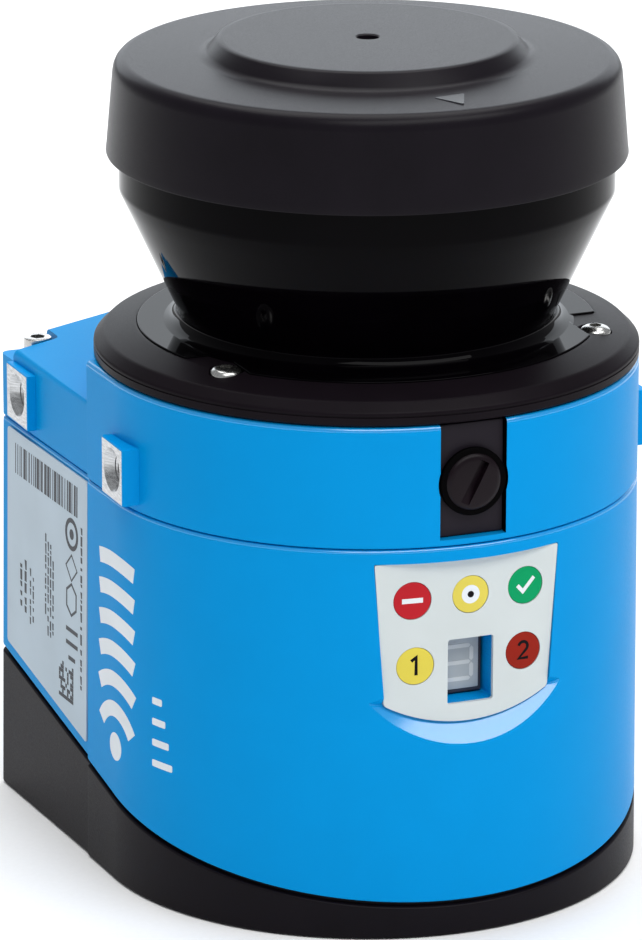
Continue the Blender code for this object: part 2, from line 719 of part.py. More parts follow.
def rating_label():
    """Thin label on the left side wall, cut along the slanted base rim."""
    corners = [(13.2, 21.4), (52.0, 29.2), (52.0, 71.0), (13.2, 71.0)]
    bm = bmesh.new()
    face = [bm.verts.new(Vector((-side_wall_x(y, z) - 0.1, y, z)) * MM) for y, z in corners]
    bm.faces.new(face)
    obj = guide("label", bm)
    if obj.data.polygons[0].normal.x > 0:
        obj.data.flip_normals()
    shell = obj.modifiers.new("Thickness", "SOLIDIFY")
    shell.thickness = 0.25 * MM
    shell.offset = 1.0
    return add_part(obj, "rating_label", LABEL_SILVER)


# ------------------------------------------------------------------ upper housing and port

def deck_clearance():
    """Everything above the sloping rear deck and outside the round drum."""
    steps = 20
    start = math.asin(CREASE_Y / RING_RADIUS)
    arc = []
    for step in range(steps + 1):
        turn = start + (math.pi - 2 * start) * step / steps
        arc.append((RING_RADIUS * math.cos(turn), RING_RADIUS * math.sin(turn)))
    plan = arc + [(-FAR, CREASE_Y), (-FAR, 70.0), (FAR, 70.0), (FAR, CREASE_Y)]
    space = prism([plan], 75.0, 105.0)
    edge_z = DECK_Z - DECK_FALL * (FAR - DECK_FLAT_HALF)
    wide = FAR + 5.0
    roof = [(-wide, 60.0), (wide, 60.0), (wide, edge_z), (FAR, edge_z), (DECK_FLAT_HALF, DECK_Z),
            (-DECK_FLAT_HALF, DECK_Z), (-FAR, edge_z), (-wide, edge_z)]
    cut(space, upright_prism(roof, -5.0, 80.0))
    return space


def upper_housing():
    """Blue casing above the seam with the drum top, rear deck, pads and port pocket."""
    shell = housing_prism([0.0], SEAM_Z + SEAM_GAP, UPPER_TOP)
    cut(shell, deck_clearance())
    cavity = lean_in(prism([clip_front(housing_outline(WALL), FRONT_CHORD_Y)], 60.0, CAVITY_TOP))
    circle = []
    for step in range(32):
        turn = 2 * math.pi * step / 32
        circle.append((DRUM_CAVITY_RADIUS * math.cos(turn), DRUM_CAVITY_RADIUS * math.sin(turn)))
    drum = prism([clip_front(circle, FRONT_CHORD_Y)], CAVITY_TOP - 2.5, DRUM_CAVITY_TOP)
    cut(shell, cavity, drum)
    cut(shell, rod(BORE_RADIUS, (0, 0, 85.0), (0, 0, 100.0), 32))
    cut(shell, turned(ring_profile(35.6, 38.0, 92.9, 100.0), 32))
    for side in (-1, 1):
        for y_span in PAD_SPANS.values():
            join(shell, box(sorted((side * 42.0, side * PAD_X)), y_span, PAD_Z))
        screw_x = side * DECK_SCREW[0]
        screw_y = DECK_SCREW[1]
        join(shell, rod(DECK_BOSS_RADIUS, (screw_x, screw_y, SEAM_Z + 0.7), (screw_x, screw_y, 82.0), 12))
        cut(shell, box(sorted((side * POCKET_X, side * FAR)), (POCKET_Y, 70.0), (POCKET_FLOOR, 110.0)))
        cut(shell, rod(DECK_THREAD_RADIUS, (screw_x, screw_y, 70.0), (screw_x, screw_y, 90.0), 12))
        for y_span in PAD_SPANS.values():
            middle = sum(y_span) / 2
            cut(shell, rod(PAD_HOLE_RADIUS, (side * (PAD_X - PAD_HOLE_DEPTH), middle, PAD_HOLE_Z),
                           (side * (PAD_X + 2), middle, PAD_HOLE_Z), 12))
            cut(shell, rod(PAD_HOLE_RADIUS - 0.5, (side * (PAD_X - 2.0), middle, PAD_HOLE_Z),
                           (side * (PAD_X + 1.0), middle, PAD_HOLE_Z), 12, PAD_HOLE_RADIUS + 2.5))
    for angle in COVER_SCREW_ANGLES.values():
        x, y = screw_place(angle)
        cut(shell, rod(COVER_SCREW_HOLE, (x, y, 85.0), (x, y, 100.0), 12))
    cut(shell, box((-PORT_HALF - GAP, PORT_HALF + GAP), (-FAR, PORT_POCKET_Y), (PORT_Z[0] - GAP, 110.0)))
    cut(shell, rod(PLUG_RADIUS + 0.45, (0, -FAR, PLUG_Z), (0, -47.0, PLUG_Z), 24))
    cut(shell, rod(SERVICE_SOCKET_RADIUS + 0.3, (0, -50.0, PLUG_Z), (0, -38.0, PLUG_Z), 20))
    return add_part(shell, "upper_housing", BLUE)


def port_plate():
    """Dark strip round the service port."""
    plate = box((-PORT_HALF, PORT_HALF), PORT_PLATE_Y, PORT_Z)
    cut(plate, rod(PORT_BORE_RADIUS, (0, -50.0, PLUG_Z), (0, -40.0, PLUG_Z), 20))
    return add_part(plate, "port_plate", PLATE_GREY)


def config_socket():
    """M8 service socket with four pins, behind the plate."""
    front, back = -SERVICE_SOCKET_Y[0], -SERVICE_SOCKET_Y[1]
    profile = [(0, SERVICE_SOCKET_FLOOR), (PORT_BORE_RADIUS, SERVICE_SOCKET_FLOOR),
               (PORT_BORE_RADIUS, front), (SERVICE_SOCKET_RADIUS, front), (SERVICE_SOCKET_RADIUS, back),
               (0, back)]
    body = facing_front(turned(profile, 20), 0.0, PLUG_Z)
    pins = bmesh.new()
    size = Vector((PIN_WIDTH, 4.0, PIN_WIDTH)) * MM
    for x in (-SERVICE_PIN_OFFSET, SERVICE_PIN_OFFSET):
        for z in (-SERVICE_PIN_OFFSET, SERVICE_PIN_OFFSET):
            place = Matrix.Translation(Vector((x, -SERVICE_SOCKET_FLOOR - 1.0, PLUG_Z + z)) * MM)
            scale = Matrix.Diagonal((*size, 1.0))
            bmesh.ops.create_cube(pins, size=1.0, matrix=place @ scale)
    join(body, guide("socket_pins", pins))
    return add_part(body, "config_socket", BRASS)


def plug_seal():
    """O-ring under the plug's head."""
    seal = turned([(4.3, 48.4), (5.4, 48.4), (5.5, 48.1), (5.4, 47.7), (4.3, 47.7)], 16)
    return add_part(facing_front(seal, 0.0, PLUG_Z), "plug_seal", RUBBER)


def plug_cap():
    """Slotted screw plug with a hollow M8 shank."""
    plug = turned([(0, 49.45), (3.6, 49.3), (5.4, 49.05), (5.95, 48.8), (PLUG_RADIUS, 48.5),
                   (PLUG_RADIUS, 47.9), (PLUG_SEAT_RADIUS, 47.9), (PLUG_SEAT_RADIUS, 48.7),
                   (PLUG_SHANK_RADIUS, 48.7), (PLUG_SHANK_RADIUS, 42.4), (PLUG_SHANK_BORE, 42.4),
                   (PLUG_SHANK_BORE, 47.0), (0, 47.0)], 20)
    facing_front(plug, 0.0, PLUG_Z)
    half_width, half_length = PLUG_SLOT_HALF
    slot = box((-half_width, half_width), (-FAR, PLUG_SLOT_FLOOR_Y), (-half_length, half_length))
    slot.location = (0.0, 0.0, PLUG_Z * MM)
    slot.rotation_euler = (0.0, math.radians(PLUG_SLOT_DEGREES), 0.0)
    cut(plug, slot)
    return add_part(plug, "plug_cap", SATIN_BLACK)


def deck_screw(name, side):
    """Socket-head screw that clamps the two casings at a rear corner."""
    x, y = side * DECK_SCREW[0], DECK_SCREW[1]
    profile = [(0, 87.3), (2.4, 87.3), (2.6, 87.1), (2.6, 84.3), (1.25, 84.3), (1.25, 60.0), (0, 60.0)]
    screw = turned(profile, 12)
    screw.location = (x * MM, y * MM, 0.0)
    cut(screw, rod(1.45, (x, y, 85.6), (x, y, 90.0), 6))
    return add_part(screw, "deck_screw_" + name, STEEL)


# ------------------------------------------------------------------ ring, window and cap

def carrier_ring():
    """Black ring that carries the window, with raised lands round the screws."""
    ring = turned([(31.6, RING_TOP), (41.8, RING_TOP), (47.2, 98.5), (RING_RADIUS, 96.7),
                   (RING_RADIUS, RING_BOTTOM), (31.6, RING_BOTTOM)], ROUND_STEPS)
    cut(ring, prism([flange_outline(FLANGE_RADIUS + GAP, 0.0)], 98.0, 105.0))
    for angle in COVER_SCREW_ANGLES.values():
        x, y = screw_place(angle)
        cut(ring, rod(RING_SEAT_RADIUS, (x, y, RING_SEAT_Z), (x, y, 105.0), 14))
        cut(ring, rod(COVER_SCREW_HOLE, (x, y, 90.0), (x, y, 99.0), 12))
    return add_part(ring, "carrier_ring", SATIN_BLACK)


def ring_gasket():
    """Seal between the ring and the drum top."""
    return add_part(turned(ring_profile(35.9, 37.7, 93.2, 94.2), 32), "ring_gasket", RUBBER)


def optics_window():
    """Dark infrared-clear window: notched flange, neck, cone and upright band."""
    profile = [(41.9, WINDOW_TOP), (44.3, WINDOW_TOP), (44.3, 124.9), (33.9, 102.6), (34.6, 101.2),
               (36.2, FLANGE_TOP), (FLANGE_RADIUS, FLANGE_TOP), (FLANGE_RADIUS, 98.3), (31.9, 98.3),
               (31.3, 102.8), (41.9, 125.5)]
    window = turned(profile, ROUND_STEPS)
    notch_x = NOTCH_X - GAP
    for side in (-1, 1):
        cut(window, box(sorted((side * notch_x, side * FAR)), (-FAR, -NOTCH_Y + GAP), NOTCH_Z))
    cut(window, box((-REAR_NOTCH_HALF - GAP, REAR_NOTCH_HALF + GAP), (REAR_NOTCH_Y - GAP, FAR), NOTCH_Z))
    return add_part(window, "optics_window", WINDOW_BLACK)


def cover_screw(name, angle):
    """Pan-head screw that holds the ring to the drum."""
    x, y = screw_place(angle)
    screw = turned([(0, 100.7), (1.6, 100.6), (2.5, 100.2), (2.8, 99.6), (2.8, 98.7), (1.5, 98.7),
                    (1.5, 88.0), (0, 88.0)], 12)
    screw.location = (x * MM, y * MM, 0.0)
    cut(screw, rod(1.2, (x, y, 99.5), (x, y, 103.0), 6))
    return add_part(screw, "cover_screw_" + name, STEEL)


def cap_seal():
    """Thin seal on the window's top rim."""
    return add_part(turned(ring_profile(42.4, 44.1, 133.5, 134.1), 32), "cap_seal", RUBBER)


def top_cap():
    """Black cap with a raised round plateau."""
    cap = turned([(0, CAP_TOP), (26.6, CAP_TOP), (28.9, 149.2), (30.2, 148.9), (43.4, CAP_SHOULDER),
                  (44.8, 147.6), (45.3, 145.8), (46.55, CAP_BOTTOM), (44.6, CAP_BOTTOM), (44.6, 134.4),
                  (42.2, 134.4), (42.2, 145.4), (26.4, 146.0), (25.0, 149.4), (0, 149.4)], ROUND_STEPS)
    cut(cap, rod(2.0, (0, 0, 150.4), (0, 0, 160.0), 16))
    return add_part(cap, "top_cap", SATIN_BLACK)


# ------------------------------------------------------------------ electronics

def board(x_span, y_span, z):
    """Circuit board with post holes."""
    plate = box(x_span, y_span, (z, z + BOARD_THICKNESS))
    for x, y in BOARD_POSTS:
        cut(plate, rod(POST_THREAD_RADIUS, (x, y, z - 5.0), (x, y, z + 5.0), 12))
    return plate


def power_board():
    """Lower board with a filter block and the socket's terminal row."""
    plate = board((-33.0, 33.0), (-24.0, 34.0), POWER_BOARD_Z)
    top = POWER_BOARD_Z + BOARD_THICKNESS - 0.2
    join(plate, box((-18.0, 2.0), (-18.0, 2.0), (top, top + 11.0)))
    join(plate, rod(5.0, (12.0, 8.0, top), (12.0, 8.0, top + 13.0), 16))
    join(plate, rod(5.0, (-6.0, 20.0, top), (-6.0, 20.0, top + 13.0), 16))
    return add_part(plate, "power_board", BOARD_GREEN)


def main_board():
    """Upper board with the processor and memory."""
    plate = board((-34.0, 34.0), (-26.0, 36.0), MAIN_BOARD_Z)
    top = MAIN_BOARD_Z + BOARD_THICKNESS - 0.2
    join(plate, box((-9.0, 9.0), (-10.0, 8.0), (top, top + 2.4)))
    join(plate, box((-26.0, -15.0), (-8.0, 2.0), (top, top + 1.6)))
    join(plate, box((14.0, 25.0), (12.0, 22.0), (top, top + 1.6)))
    join(plate, box((-6.0, 6.0), (25.5, 28.6), (top, top + 3.0)))
    return add_part(plate, "main_board", BOARD_GREEN)


def board_standoff(index, x, y):
    """Hexagonal spacer with a stud at each end."""
    low = POWER_BOARD_Z + BOARD_THICKNESS + GAP
    high = MAIN_BOARD_Z - GAP
    post = turned([(0, high + 2.2), (1.3, high + 2.2), (1.3, high), (2.9, high), (2.9, low), (1.3, low),
                   (1.3, 19.0), (0, 19.0)], 6)
    post.location = (x * MM, y * MM, 0.0)
    return add_part(post, "board_standoff_" + str(index), BRASS)


def display_board():
    """Upright board behind the status panel."""
    plate = box((-DISPLAY_BOARD_HALF, DISPLAY_BOARD_HALF), DISPLAY_BOARD_Y, DISPLAY_BOARD_Z)
    for x, z in LAMPS.values():
        join(plate, box((x - BOARD_LAMP_HALF, x + BOARD_LAMP_HALF), BOARD_LAMP_Y,
                        (z - BOARD_LAMP_HALF, z + BOARD_LAMP_HALF)))
    return add_part(plate, "display_board", BOARD_GREEN)


def receiver_board():
    """Round board under the optics tube."""
    return add_part(rod(23.0, (0, 0, 60.0), (0, 0, 61.6), 24), "receiver_board", BOARD_GREEN)


def photodiode():
    """Avalanche photodiode can on the receiver board."""
    profile = [(0, 66.0), (3.6, 66.0), (4.1, 65.6), (4.1, 62.8), (4.7, 62.8), (4.7, 61.9), (0, 61.9)]
    return add_part(turned(profile, 16), "photodiode", STEEL)


# ------------------------------------------------------------------ optics and rotor

def optics_block():
    """Cast tube with a mounting flange, lens seat and a spider for the laser."""
    low, high = BLOCK_FLANGE_Z
    block = turned([(16.3, 98.0), (TUBE_RADIUS, 98.0), (TUBE_RADIUS, high), (31.0, high),
                    (BLOCK_FLANGE_RADIUS, high), (BLOCK_FLANGE_RADIUS, low), (TUBE_RADIUS, low),
                    (TUBE_RADIUS, 64.0), (22.5, 64.0), (22.5, 61.9), (14.6, 61.9), (14.6, 91.6),
                    (16.3, 91.6)], 28)
    spider = box((-15.5, 15.5), (-0.9, 0.9), (83.0, 88.0))
    join(block, spider, rod(6.4, (0, 0, 82.0), (0, 0, 89.0), 24))
    cut(block, rod(LASER_RADIUS + GAP, (0, 0, 75.0), (0, 0, 95.0), 20))
    cut(block, box((-FLEX_SLOT_HALF, FLEX_SLOT_HALF), (POST_Y[1], 34.0), (80.0, 95.0)))
    cut(block, box((-FAR, FAR), (-FAR, -BORE_RADIUS), (80.0, 95.0)))
    for angle in COVER_SCREW_ANGLES.values():
        x, y = screw_place(angle)
        cut(block, rod(2.4, (x, y, 80.0), (x, y, 95.0), 12))
    return add_part(block, "optics_block", ALUMINIUM)


def receiver_lens():
    """Large receiving lens with a hole for the laser barrel."""
    profile = [(LASER_RADIUS + GAP, 96.9), (9.0, 96.2), (13.0, 94.9), (LENS_RADIUS, 93.2),
               (LENS_RADIUS, 91.9), (LASER_RADIUS + GAP, 91.9)]
    return add_part(turned(profile, 24), "receiver_lens", GLASS)


def laser_module():
    """Pulsed laser diode in a brass barrel on the optical axis."""
    profile = [(0, 90.0), (3.2, 90.0), (3.2, 94.8), (3.7, 94.8), (3.7, 97.6), (LASER_RADIUS, 97.6),
               (LASER_RADIUS, 81.5), (5.2, 81.5), (5.2, 79.0), (0, 79.0)]
    return add_part(turned(profile, 16), "laser_module", BRASS)


def collimator_lens():
    """Small lens that makes the laser beam parallel."""
    profile = [(0, 97.0), (1.8, 96.8), (3.4, 96.2), (3.4, 95.1), (0, 95.1)]
    return add_part(turned(profile, 16), "collimator_lens", GLASS)


def motor_bracket():
    """Bracket that hangs the motor above the mirror from one post in the blind rear sector."""
    bracket = turned(ring_profile(TUBE_RADIUS + GAP + 0.2, 30.4, 90.0, 93.0), 28)
    join(bracket, box((-POST_HALF, POST_HALF), POST_Y, (91.0, 144.0)))
    join(bracket, box((-POST_HALF, POST_HALF), (0.0, POST_Y[1] - 1.0), BRACKET_TOP_Z))
    join(bracket, rod(16.0, (0, 0, 142.0), (0, 0, 145.2), 24))
    join(bracket, rod(8.0, (0, 0, 139.8), (0, 0, 147.6), 20))
    cut(bracket, rod(4.3, (0, 0, 130.0), (0, 0, 150.0), 20))
    cut(bracket, rod(BEARING_SEAT_RADIUS, (0, 0, 130.0), (0, 0, 142.6), 20))
    cut(bracket, rod(BEARING_SEAT_RADIUS, (0, 0, 144.8), (0, 0, 150.0), 20))
    cut(bracket, box((-FLEX_SLOT_HALF, FLEX_SLOT_HALF), (POST_Y[1], 40.0), (80.0, 100.0)))
    return add_part(bracket, "motor_bracket", ALUMINIUM)


def motor_stator():
    """Wound stator ring under the bracket."""
    return add_part(turned(ring_profile(10.6, 15.0, 132.0, 141.7), 24), "motor_stator", COPPER)


def motor_rotor():
    """Magnet hub on the shaft."""
    profile = [(SHAFT_RADIUS + GAP, 139.0), (9.0, 139.0), (10.0, 138.4), (10.0, 133.0),
               (SHAFT_RADIUS + GAP, 133.0)]
    return add_part(turned(profile, 20), "motor_rotor", STEEL)


def rotor_shaft():
    """Shaft from the motor down into the mirror carrier."""
    profile = [(0, 148.6), (SHAFT_RADIUS - 0.4, 148.6), (SHAFT_RADIUS, 148.2), (SHAFT_RADIUS, 122.4),
               (0, 122.4)]
    return add_part(turned(profile, 16), "rotor_shaft", STEEL)


def bearing(name, low):
    """Ball bearing as its two races; the inner race turns with the shaft."""
    high = low + BEARING_HEIGHT
    inner_race, outer_inside, outer_outside = BEARING_RADII
    outer = turned(ring_profile(outer_inside, outer_outside, low, high), 16)
    inner = turned(ring_profile(SHAFT_RADIUS + GAP, inner_race, low, high), 16)
    add_part(outer, name + "_bearing_outer", STEEL)
    add_part(inner, name + "_bearing_inner", STEEL)


def mirror_plane(offset, thickness):
    """Slab parallel to the 45 degree mirror, offset upwards from its reflecting face."""
    return slab_on_plane(SCAN_Z + offset * math.sqrt(2), -1.0, thickness)


def mirror_carrier():
    """Round block cut at 45 degrees behind the mirror, with a blind hole for the shaft."""
    block = rod(CARRIER_RADIUS, (0, 0, 102.2), (0, 0, CARRIER_TOP), 24)
    cut(block, mirror_plane(2.3, -90.0), rod(SHAFT_RADIUS + GAP, (0, 0, 122.1), (0, 0, 135.0), 20))
    return add_part(block, "mirror_carrier", ALUMINIUM)


def scan_mirror():
    """Flat mirror at 45 degrees that turns the beam from the axis to the horizon."""
    plate = rod(MIRROR_RADIUS, (0, 0, 102.6), (0, 0, 128.0), 24)
    keep_inside(plate, mirror_plane(0.0, 2.0))
    return add_part(plate, "scan_mirror", MIRROR)


def encoder_disc():
    """Slotted disc that reports the mirror's angle."""
    disc = turned(ring_profile(SHAFT_RADIUS + GAP, ENCODER_RADIUS, CARRIER_TOP + GAP, CARRIER_TOP + 1.3), 24)
    slots = bmesh.new()
    for step in range(ENCODER_SLOTS):
        place = Matrix.Rotation(2 * math.pi * (step + 0.5) / ENCODER_SLOTS, 4, "Z")
        place = place @ Matrix.Translation(Vector((ENCODER_SLOT_RADIUS, 0.0, CARRIER_TOP)) * MM)
        scale = Matrix.Diagonal((0.0024, 0.0014, 0.02, 1.0))
        bmesh.ops.create_cube(slots, size=1.0, matrix=place @ scale)
    cut(disc, guide("slots", slots))
    return add_part(disc, "encoder_disc", STEEL)


def encoder_sensor():
    """Fork sensor on the post that straddles the encoder disc."""
    fork = box((-4.0, 4.0), (16.0, POST_Y[0] - GAP), (125.5, 132.5))
    cut(fork, box((-10.0, 10.0), (10.0, 20.3), (CARRIER_TOP - 0.6, CARRIER_TOP + 2.0)))
    return add_part(fork, "encoder_sensor", SATIN_BLACK)


def motor_flex():
    """Flat flex cable down the back of the post to the main board."""
    low = MAIN_BOARD_Z + BOARD_THICKNESS + 3.4
    near = POST_Y[1] + GAP
    far = near + FLEX_THICKNESS
    strip = box((-FLEX_HALF, FLEX_HALF), (near, far), (60.0, 141.0))
    join(strip, box((-FLEX_HALF, FLEX_HALF), (27.0, far), (59.8, 60.2)))
    join(strip, box((-FLEX_HALF, FLEX_HALF), (26.8, 27.3), (low, 60.2)))
    return add_part(strip, "motor_flex", FLEX)


def build():
    """Make every part of the scanner."""
    base_shell()
    base_gasket()
    for name, (x, y) in BASE_SCREWS.items():
        base_screw(name, x, y)
    system_socket()
    socket_seal()
    lower_housing()
    housing_gasket()
    status_panel()
    for name, (x, z) in LAMPS.items():
        lamp(name, x, z)
    display_module()
    rating_label()
    upper_housing()
    port_plate()
    config_socket()
    plug_seal()
    plug_cap()
    deck_screw("left", -1)
    deck_screw("right", 1)
    carrier_ring()
    ring_gasket()
    optics_window()
    for name, angle in COVER_SCREW_ANGLES.items():
        cover_screw(name, angle)
    cap_seal()
    top_cap()
    power_board()
    main_board()
    for index, (x, y) in enumerate(BOARD_POSTS, 1):
        board_standoff(index, x, y)
    display_board()
    receiver_board()
    photodiode()
    optics_block()
    receiver_lens()
    laser_module()
    collimator_lens()
    motor_bracket()
    motor_stator()
    motor_rotor()
    rotor_shaft()
    for name, low in BEARING_Z.items():
        bearing(name, low)
    mirror_carrier()
    scan_mirror()
    encoder_disc()
    encoder_sensor()
    motor_flex()
    for part in PARTS.objects:
        smooth(part.data)
        weld = part.modifiers.new("Weld", "WELD")
        weld.merge_threshold = 0.00001


build()
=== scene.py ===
"""Looks of the lidar scanner module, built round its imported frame.

Sizes below are in millimetres; MM turns them into metres when a mesh is made. The mirror's spin
axis is the world Z axis, the underside is at z = 0 and the front faces -Y.
"""
import contextlib
import math
import random

import bmesh
import bpy
from mathutils import Matrix, Vector


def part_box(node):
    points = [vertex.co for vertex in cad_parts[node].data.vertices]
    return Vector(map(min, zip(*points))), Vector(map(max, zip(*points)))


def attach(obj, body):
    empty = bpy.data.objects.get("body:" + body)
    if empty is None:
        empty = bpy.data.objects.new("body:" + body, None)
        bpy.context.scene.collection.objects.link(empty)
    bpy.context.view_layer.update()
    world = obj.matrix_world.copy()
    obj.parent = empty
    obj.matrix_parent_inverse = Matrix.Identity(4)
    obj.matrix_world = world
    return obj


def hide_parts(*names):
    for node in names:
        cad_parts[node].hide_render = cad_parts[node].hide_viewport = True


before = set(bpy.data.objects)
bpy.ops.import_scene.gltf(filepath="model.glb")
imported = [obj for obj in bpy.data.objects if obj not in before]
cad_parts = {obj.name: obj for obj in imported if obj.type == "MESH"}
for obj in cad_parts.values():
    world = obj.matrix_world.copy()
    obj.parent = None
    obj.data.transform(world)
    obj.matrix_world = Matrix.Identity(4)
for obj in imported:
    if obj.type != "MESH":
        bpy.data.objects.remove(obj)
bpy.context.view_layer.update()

MM = 0.001
SCENE = bpy.context.scene


def span(node):
    """Lowest and highest corner of a CAD node in millimetres."""
    low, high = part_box(node)
    return low / MM, high / MM


def centre_of(node):
    """Middle of a CAD node in millimetres."""
    low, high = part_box(node)
    return (low + high) / 2 / MM


def polar(radius, degrees):
    """Point on a circle round the spin axis."""
    turn = math.radians(degrees)
    return radius * math.cos(turn), radius * math.sin(turn)


# ---- sizes read from the frame

BASE_LOW, BASE_HIGH = span("base_shell")
UPPER_LOW, UPPER_HIGH = span("upper_housing")
CAP_LOW, CAP_HIGH = span("top_cap")
PANEL_LOW, PANEL_HIGH = span("status_panel")
PORT_LOW, PORT_HIGH = span("port_plate")
PLUG_LOW, PLUG_HIGH = span("plug_cap")
DISPLAY_LOW, DISPLAY_HIGH = span("display_module")
SOCKET_LOW, SOCKET_HIGH = span("system_socket")

FRONT_RADIUS = -BASE_LOW.y
REAR_Y = BASE_HIGH.y
REAR_HALF = BASE_HIGH.x
SEAM_Z = (span("lower_housing")[1].z + UPPER_LOW.z) / 2
DRUM_TOP = UPPER_HIGH.z
PAD_X = UPPER_HIGH.x
RING_RADIUS = span("carrier_ring")[1].x
CONE_RADIUS = span("optics_window")[1].x
WINDOW_TOP = span("optics_window")[1].z
CAP_RADIUS = CAP_HIGH.x
PLUG_Z = (PLUG_LOW.z + PLUG_HIGH.z) / 2
PLUG_RADIUS = PLUG_HIGH.x
LAMPS = {name: centre_of("lamp_" + name) for name in ("stop", "warning", "ok", "output_1", "output_2")}
BASE_SCREWS = {name: centre_of("base_screw_" + name)
               for name in ("front_left", "front_right", "rear_left", "rear_right")}
DECK_SCREWS = {name: centre_of("deck_screw_" + name) for name in ("left", "right")}

# ---- sizes of the details

FRONT_DRAFT = 0.5
SIDE_DRAFT = 1.0
CREASE_Y = 12.0
CREASE_HALF = REAR_HALF - 1.5
CORNER_RADIUS = 1.8
SLANT_Z = 16.0              # border of base and housing: z = SLANT_Z + SLANT * y
SLANT = 0.2
RIM_Z = SLANT_Z + 0.2       # lower edge of the housing on the axis
GROOVE = 0.9                # dark groove between base and housing
LIP_INSET = 1.1
TRAY_WALL = 2.5
WALL = 3.5
FRONT_STEPS = 120
LARGE_ROUND = 192           # facets round the ring and the window
SMALL_ROUND = 64            # facets round screws and sockets
PIN_ROUND = 16
SEAT_Y = -40.2
HOLLOW_FRONT_Y = -42.0
POSTS = [(x, y) for x in (-28.0, 28.0) for y in (-16.0, 28.0)]
POST_TAP = 1.6
BASE_SCREW_BORE = 2.3
DECK_SCREW_TAP = 1.55
BOSS_RADIUS = 3.4
CLEARANCE = 0.3             # round the sockets, the light guides and the display
WELD_METRES = 0.00002
SOFTEN_DEGREES = 38.0       # edges sharper than this get rounded
SEAM_GAP = 0.1
SEAM_INSET = 1.45
SEAM_STEP_Z = SEAM_Z - 1.6

DECK_FLAT_HALF = 26.0
DECK_Z = 90.1
DECK_FALL = 0.177
DECK_FILLET = 1.26
POCKET_X = 40.7
POCKET_Y = 49.6
POCKET_FLOOR = 84.0
PAD_Z = (73.5, 84.0)
PAD_SPANS = ((-10.7, -0.3), (38.8, 49.9))
PAD_HOLE_Z = 79.0
PAD_THREAD = (2.5, 2.15)    # crest and root radius of the cutter
PAD_PITCH = 0.8
PAD_INNER_X = 42.6          # faces of a pad's hole lie outside this
PAD_DEPTH = 8.0
PAD_SINK = 4.0

FLANGE_RADIUS = 41.2
FLANGE_TOP = 100.3
NOTCH_X = 32.5
NOTCH_Y = -12.0
REAR_NOTCH_HALF = 6.5
REAR_NOTCH_Y = 36.4
NOTCH_EASE = 1.5            # degrees kept clear beside a notch for its rounded corner
FLANGE_SEAT = 0.12
COVER_SCREW_CIRCLE = 41.3
COVER_SCREW_BORE = 1.9
COVER_SCREWS = {"left": polar(COVER_SCREW_CIRCLE, -149.0), "right": polar(COVER_SCREW_CIRCLE, -31.0),
                "rear": polar(COVER_SCREW_CIRCLE, 90.0)}

PANEL_TOP = PANEL_HIGH.z
PANEL_TOP_HALF = PANEL_HIGH.x
PANEL_BOTTOM = PANEL_LOW.z
PANEL_ARC_STEPS = 56
PANEL_SIDE_Z = 43.2
PANEL_SIDE_HALF = 15.6
PANEL_THICKNESS = 0.8
PANEL_FRONT_Y = PANEL_LOW.y
PANEL_TILT = 0.2 / 30.2
PANEL_RADIUS = 100.0
PANEL_GAP = 0.12
PANEL_LOW_CORNER = 1.0
PANEL_TOP_CORNER = 0.3
SCOOP_HALF = 18.4
SCOOP_TIP_Z = 43.9
SCOOP_BOTTOM = 35.5
BEYOND_X = 60.0             # a plane beside the whole housing
BEYOND_Y = 70.0             # a plane behind the whole housing
FRONT_Y = -40.0             # faces ahead of this are at the front
AHEAD_Y = -53.0             # a plane in front of the whole housing
BEHIND_Y = -38.0            # a plane behind the front wall
STOCK_Y = (-55.0, -42.0)    # depth of the stock for the panel and its pocket
LAMP_RADIUS = 3.4
LAMP_ROD_RADIUS = 2.5
OPENING_X = (DISPLAY_LOW.x - CLEARANCE, DISPLAY_HIGH.x + CLEARANCE)
OPENING_Z = (DISPLAY_LOW.z - CLEARANCE, DISPLAY_HIGH.z + CLEARANCE)
FACE_LIFT = 0.15            # display face in front of its case
FACE_RIGHT = 3.7
FACE_BOTTOM = 43.5
DIGIT_X = -0.1
DIGIT_HALF = 2.5
DIGIT_Z = (45.3, 51.4)
SEGMENT_WIDTH = 0.75
SEGMENT_GAP = 0.15

PORT_GAP = 0.15
PLUG_GAP = 0.45
PLUG_HEAD_RADIUS = 5.1
PLUG_SLOT_TURN = 28.0
PLUG_THREAD = (3.9, 3.6)
SOCKET_THREAD = (4.3, 4.5)

BAY_HALF = 22.0
BAY_Z = (4.5, 19.0)
BAY_FRONT_Y = 41.5
PIN_LEFT = -12.25
PIN_PITCH = 3.5
PIN_ROWS_Z = (10.6, 13.4)

LABEL_CORNERS = ((13.2, 21.4, 0.5), (52.0, 29.2, 0.8), (52.0, 71.0, 0.8), (13.2, 71.0, 0.8))
LABEL_LIFT = (0.1, 0.35)
BARCODE_Y = (17.8, 48.5)
BARCODE_Z = (62.9, 68.7)
CODE_SIDE = 9               # cells along one side of the square code
CODE_CORNER = (19.4, 26.6)
CODE_PITCH = 0.78
CODE_CELL = 0.72
ICON_Y = 20.5               # middle of the column of icons
RING_ICON_Z = 59.0
PRINT_LIFT = (0.3, 0.375)
ARCS_Y = 1.7                # middle of the scan arcs, along the wall from the tangent line
ARC_PITCH = 5.6
BARS_LEFT = 14.9
BAR_PITCH = 3.9


# ---- mesh tools

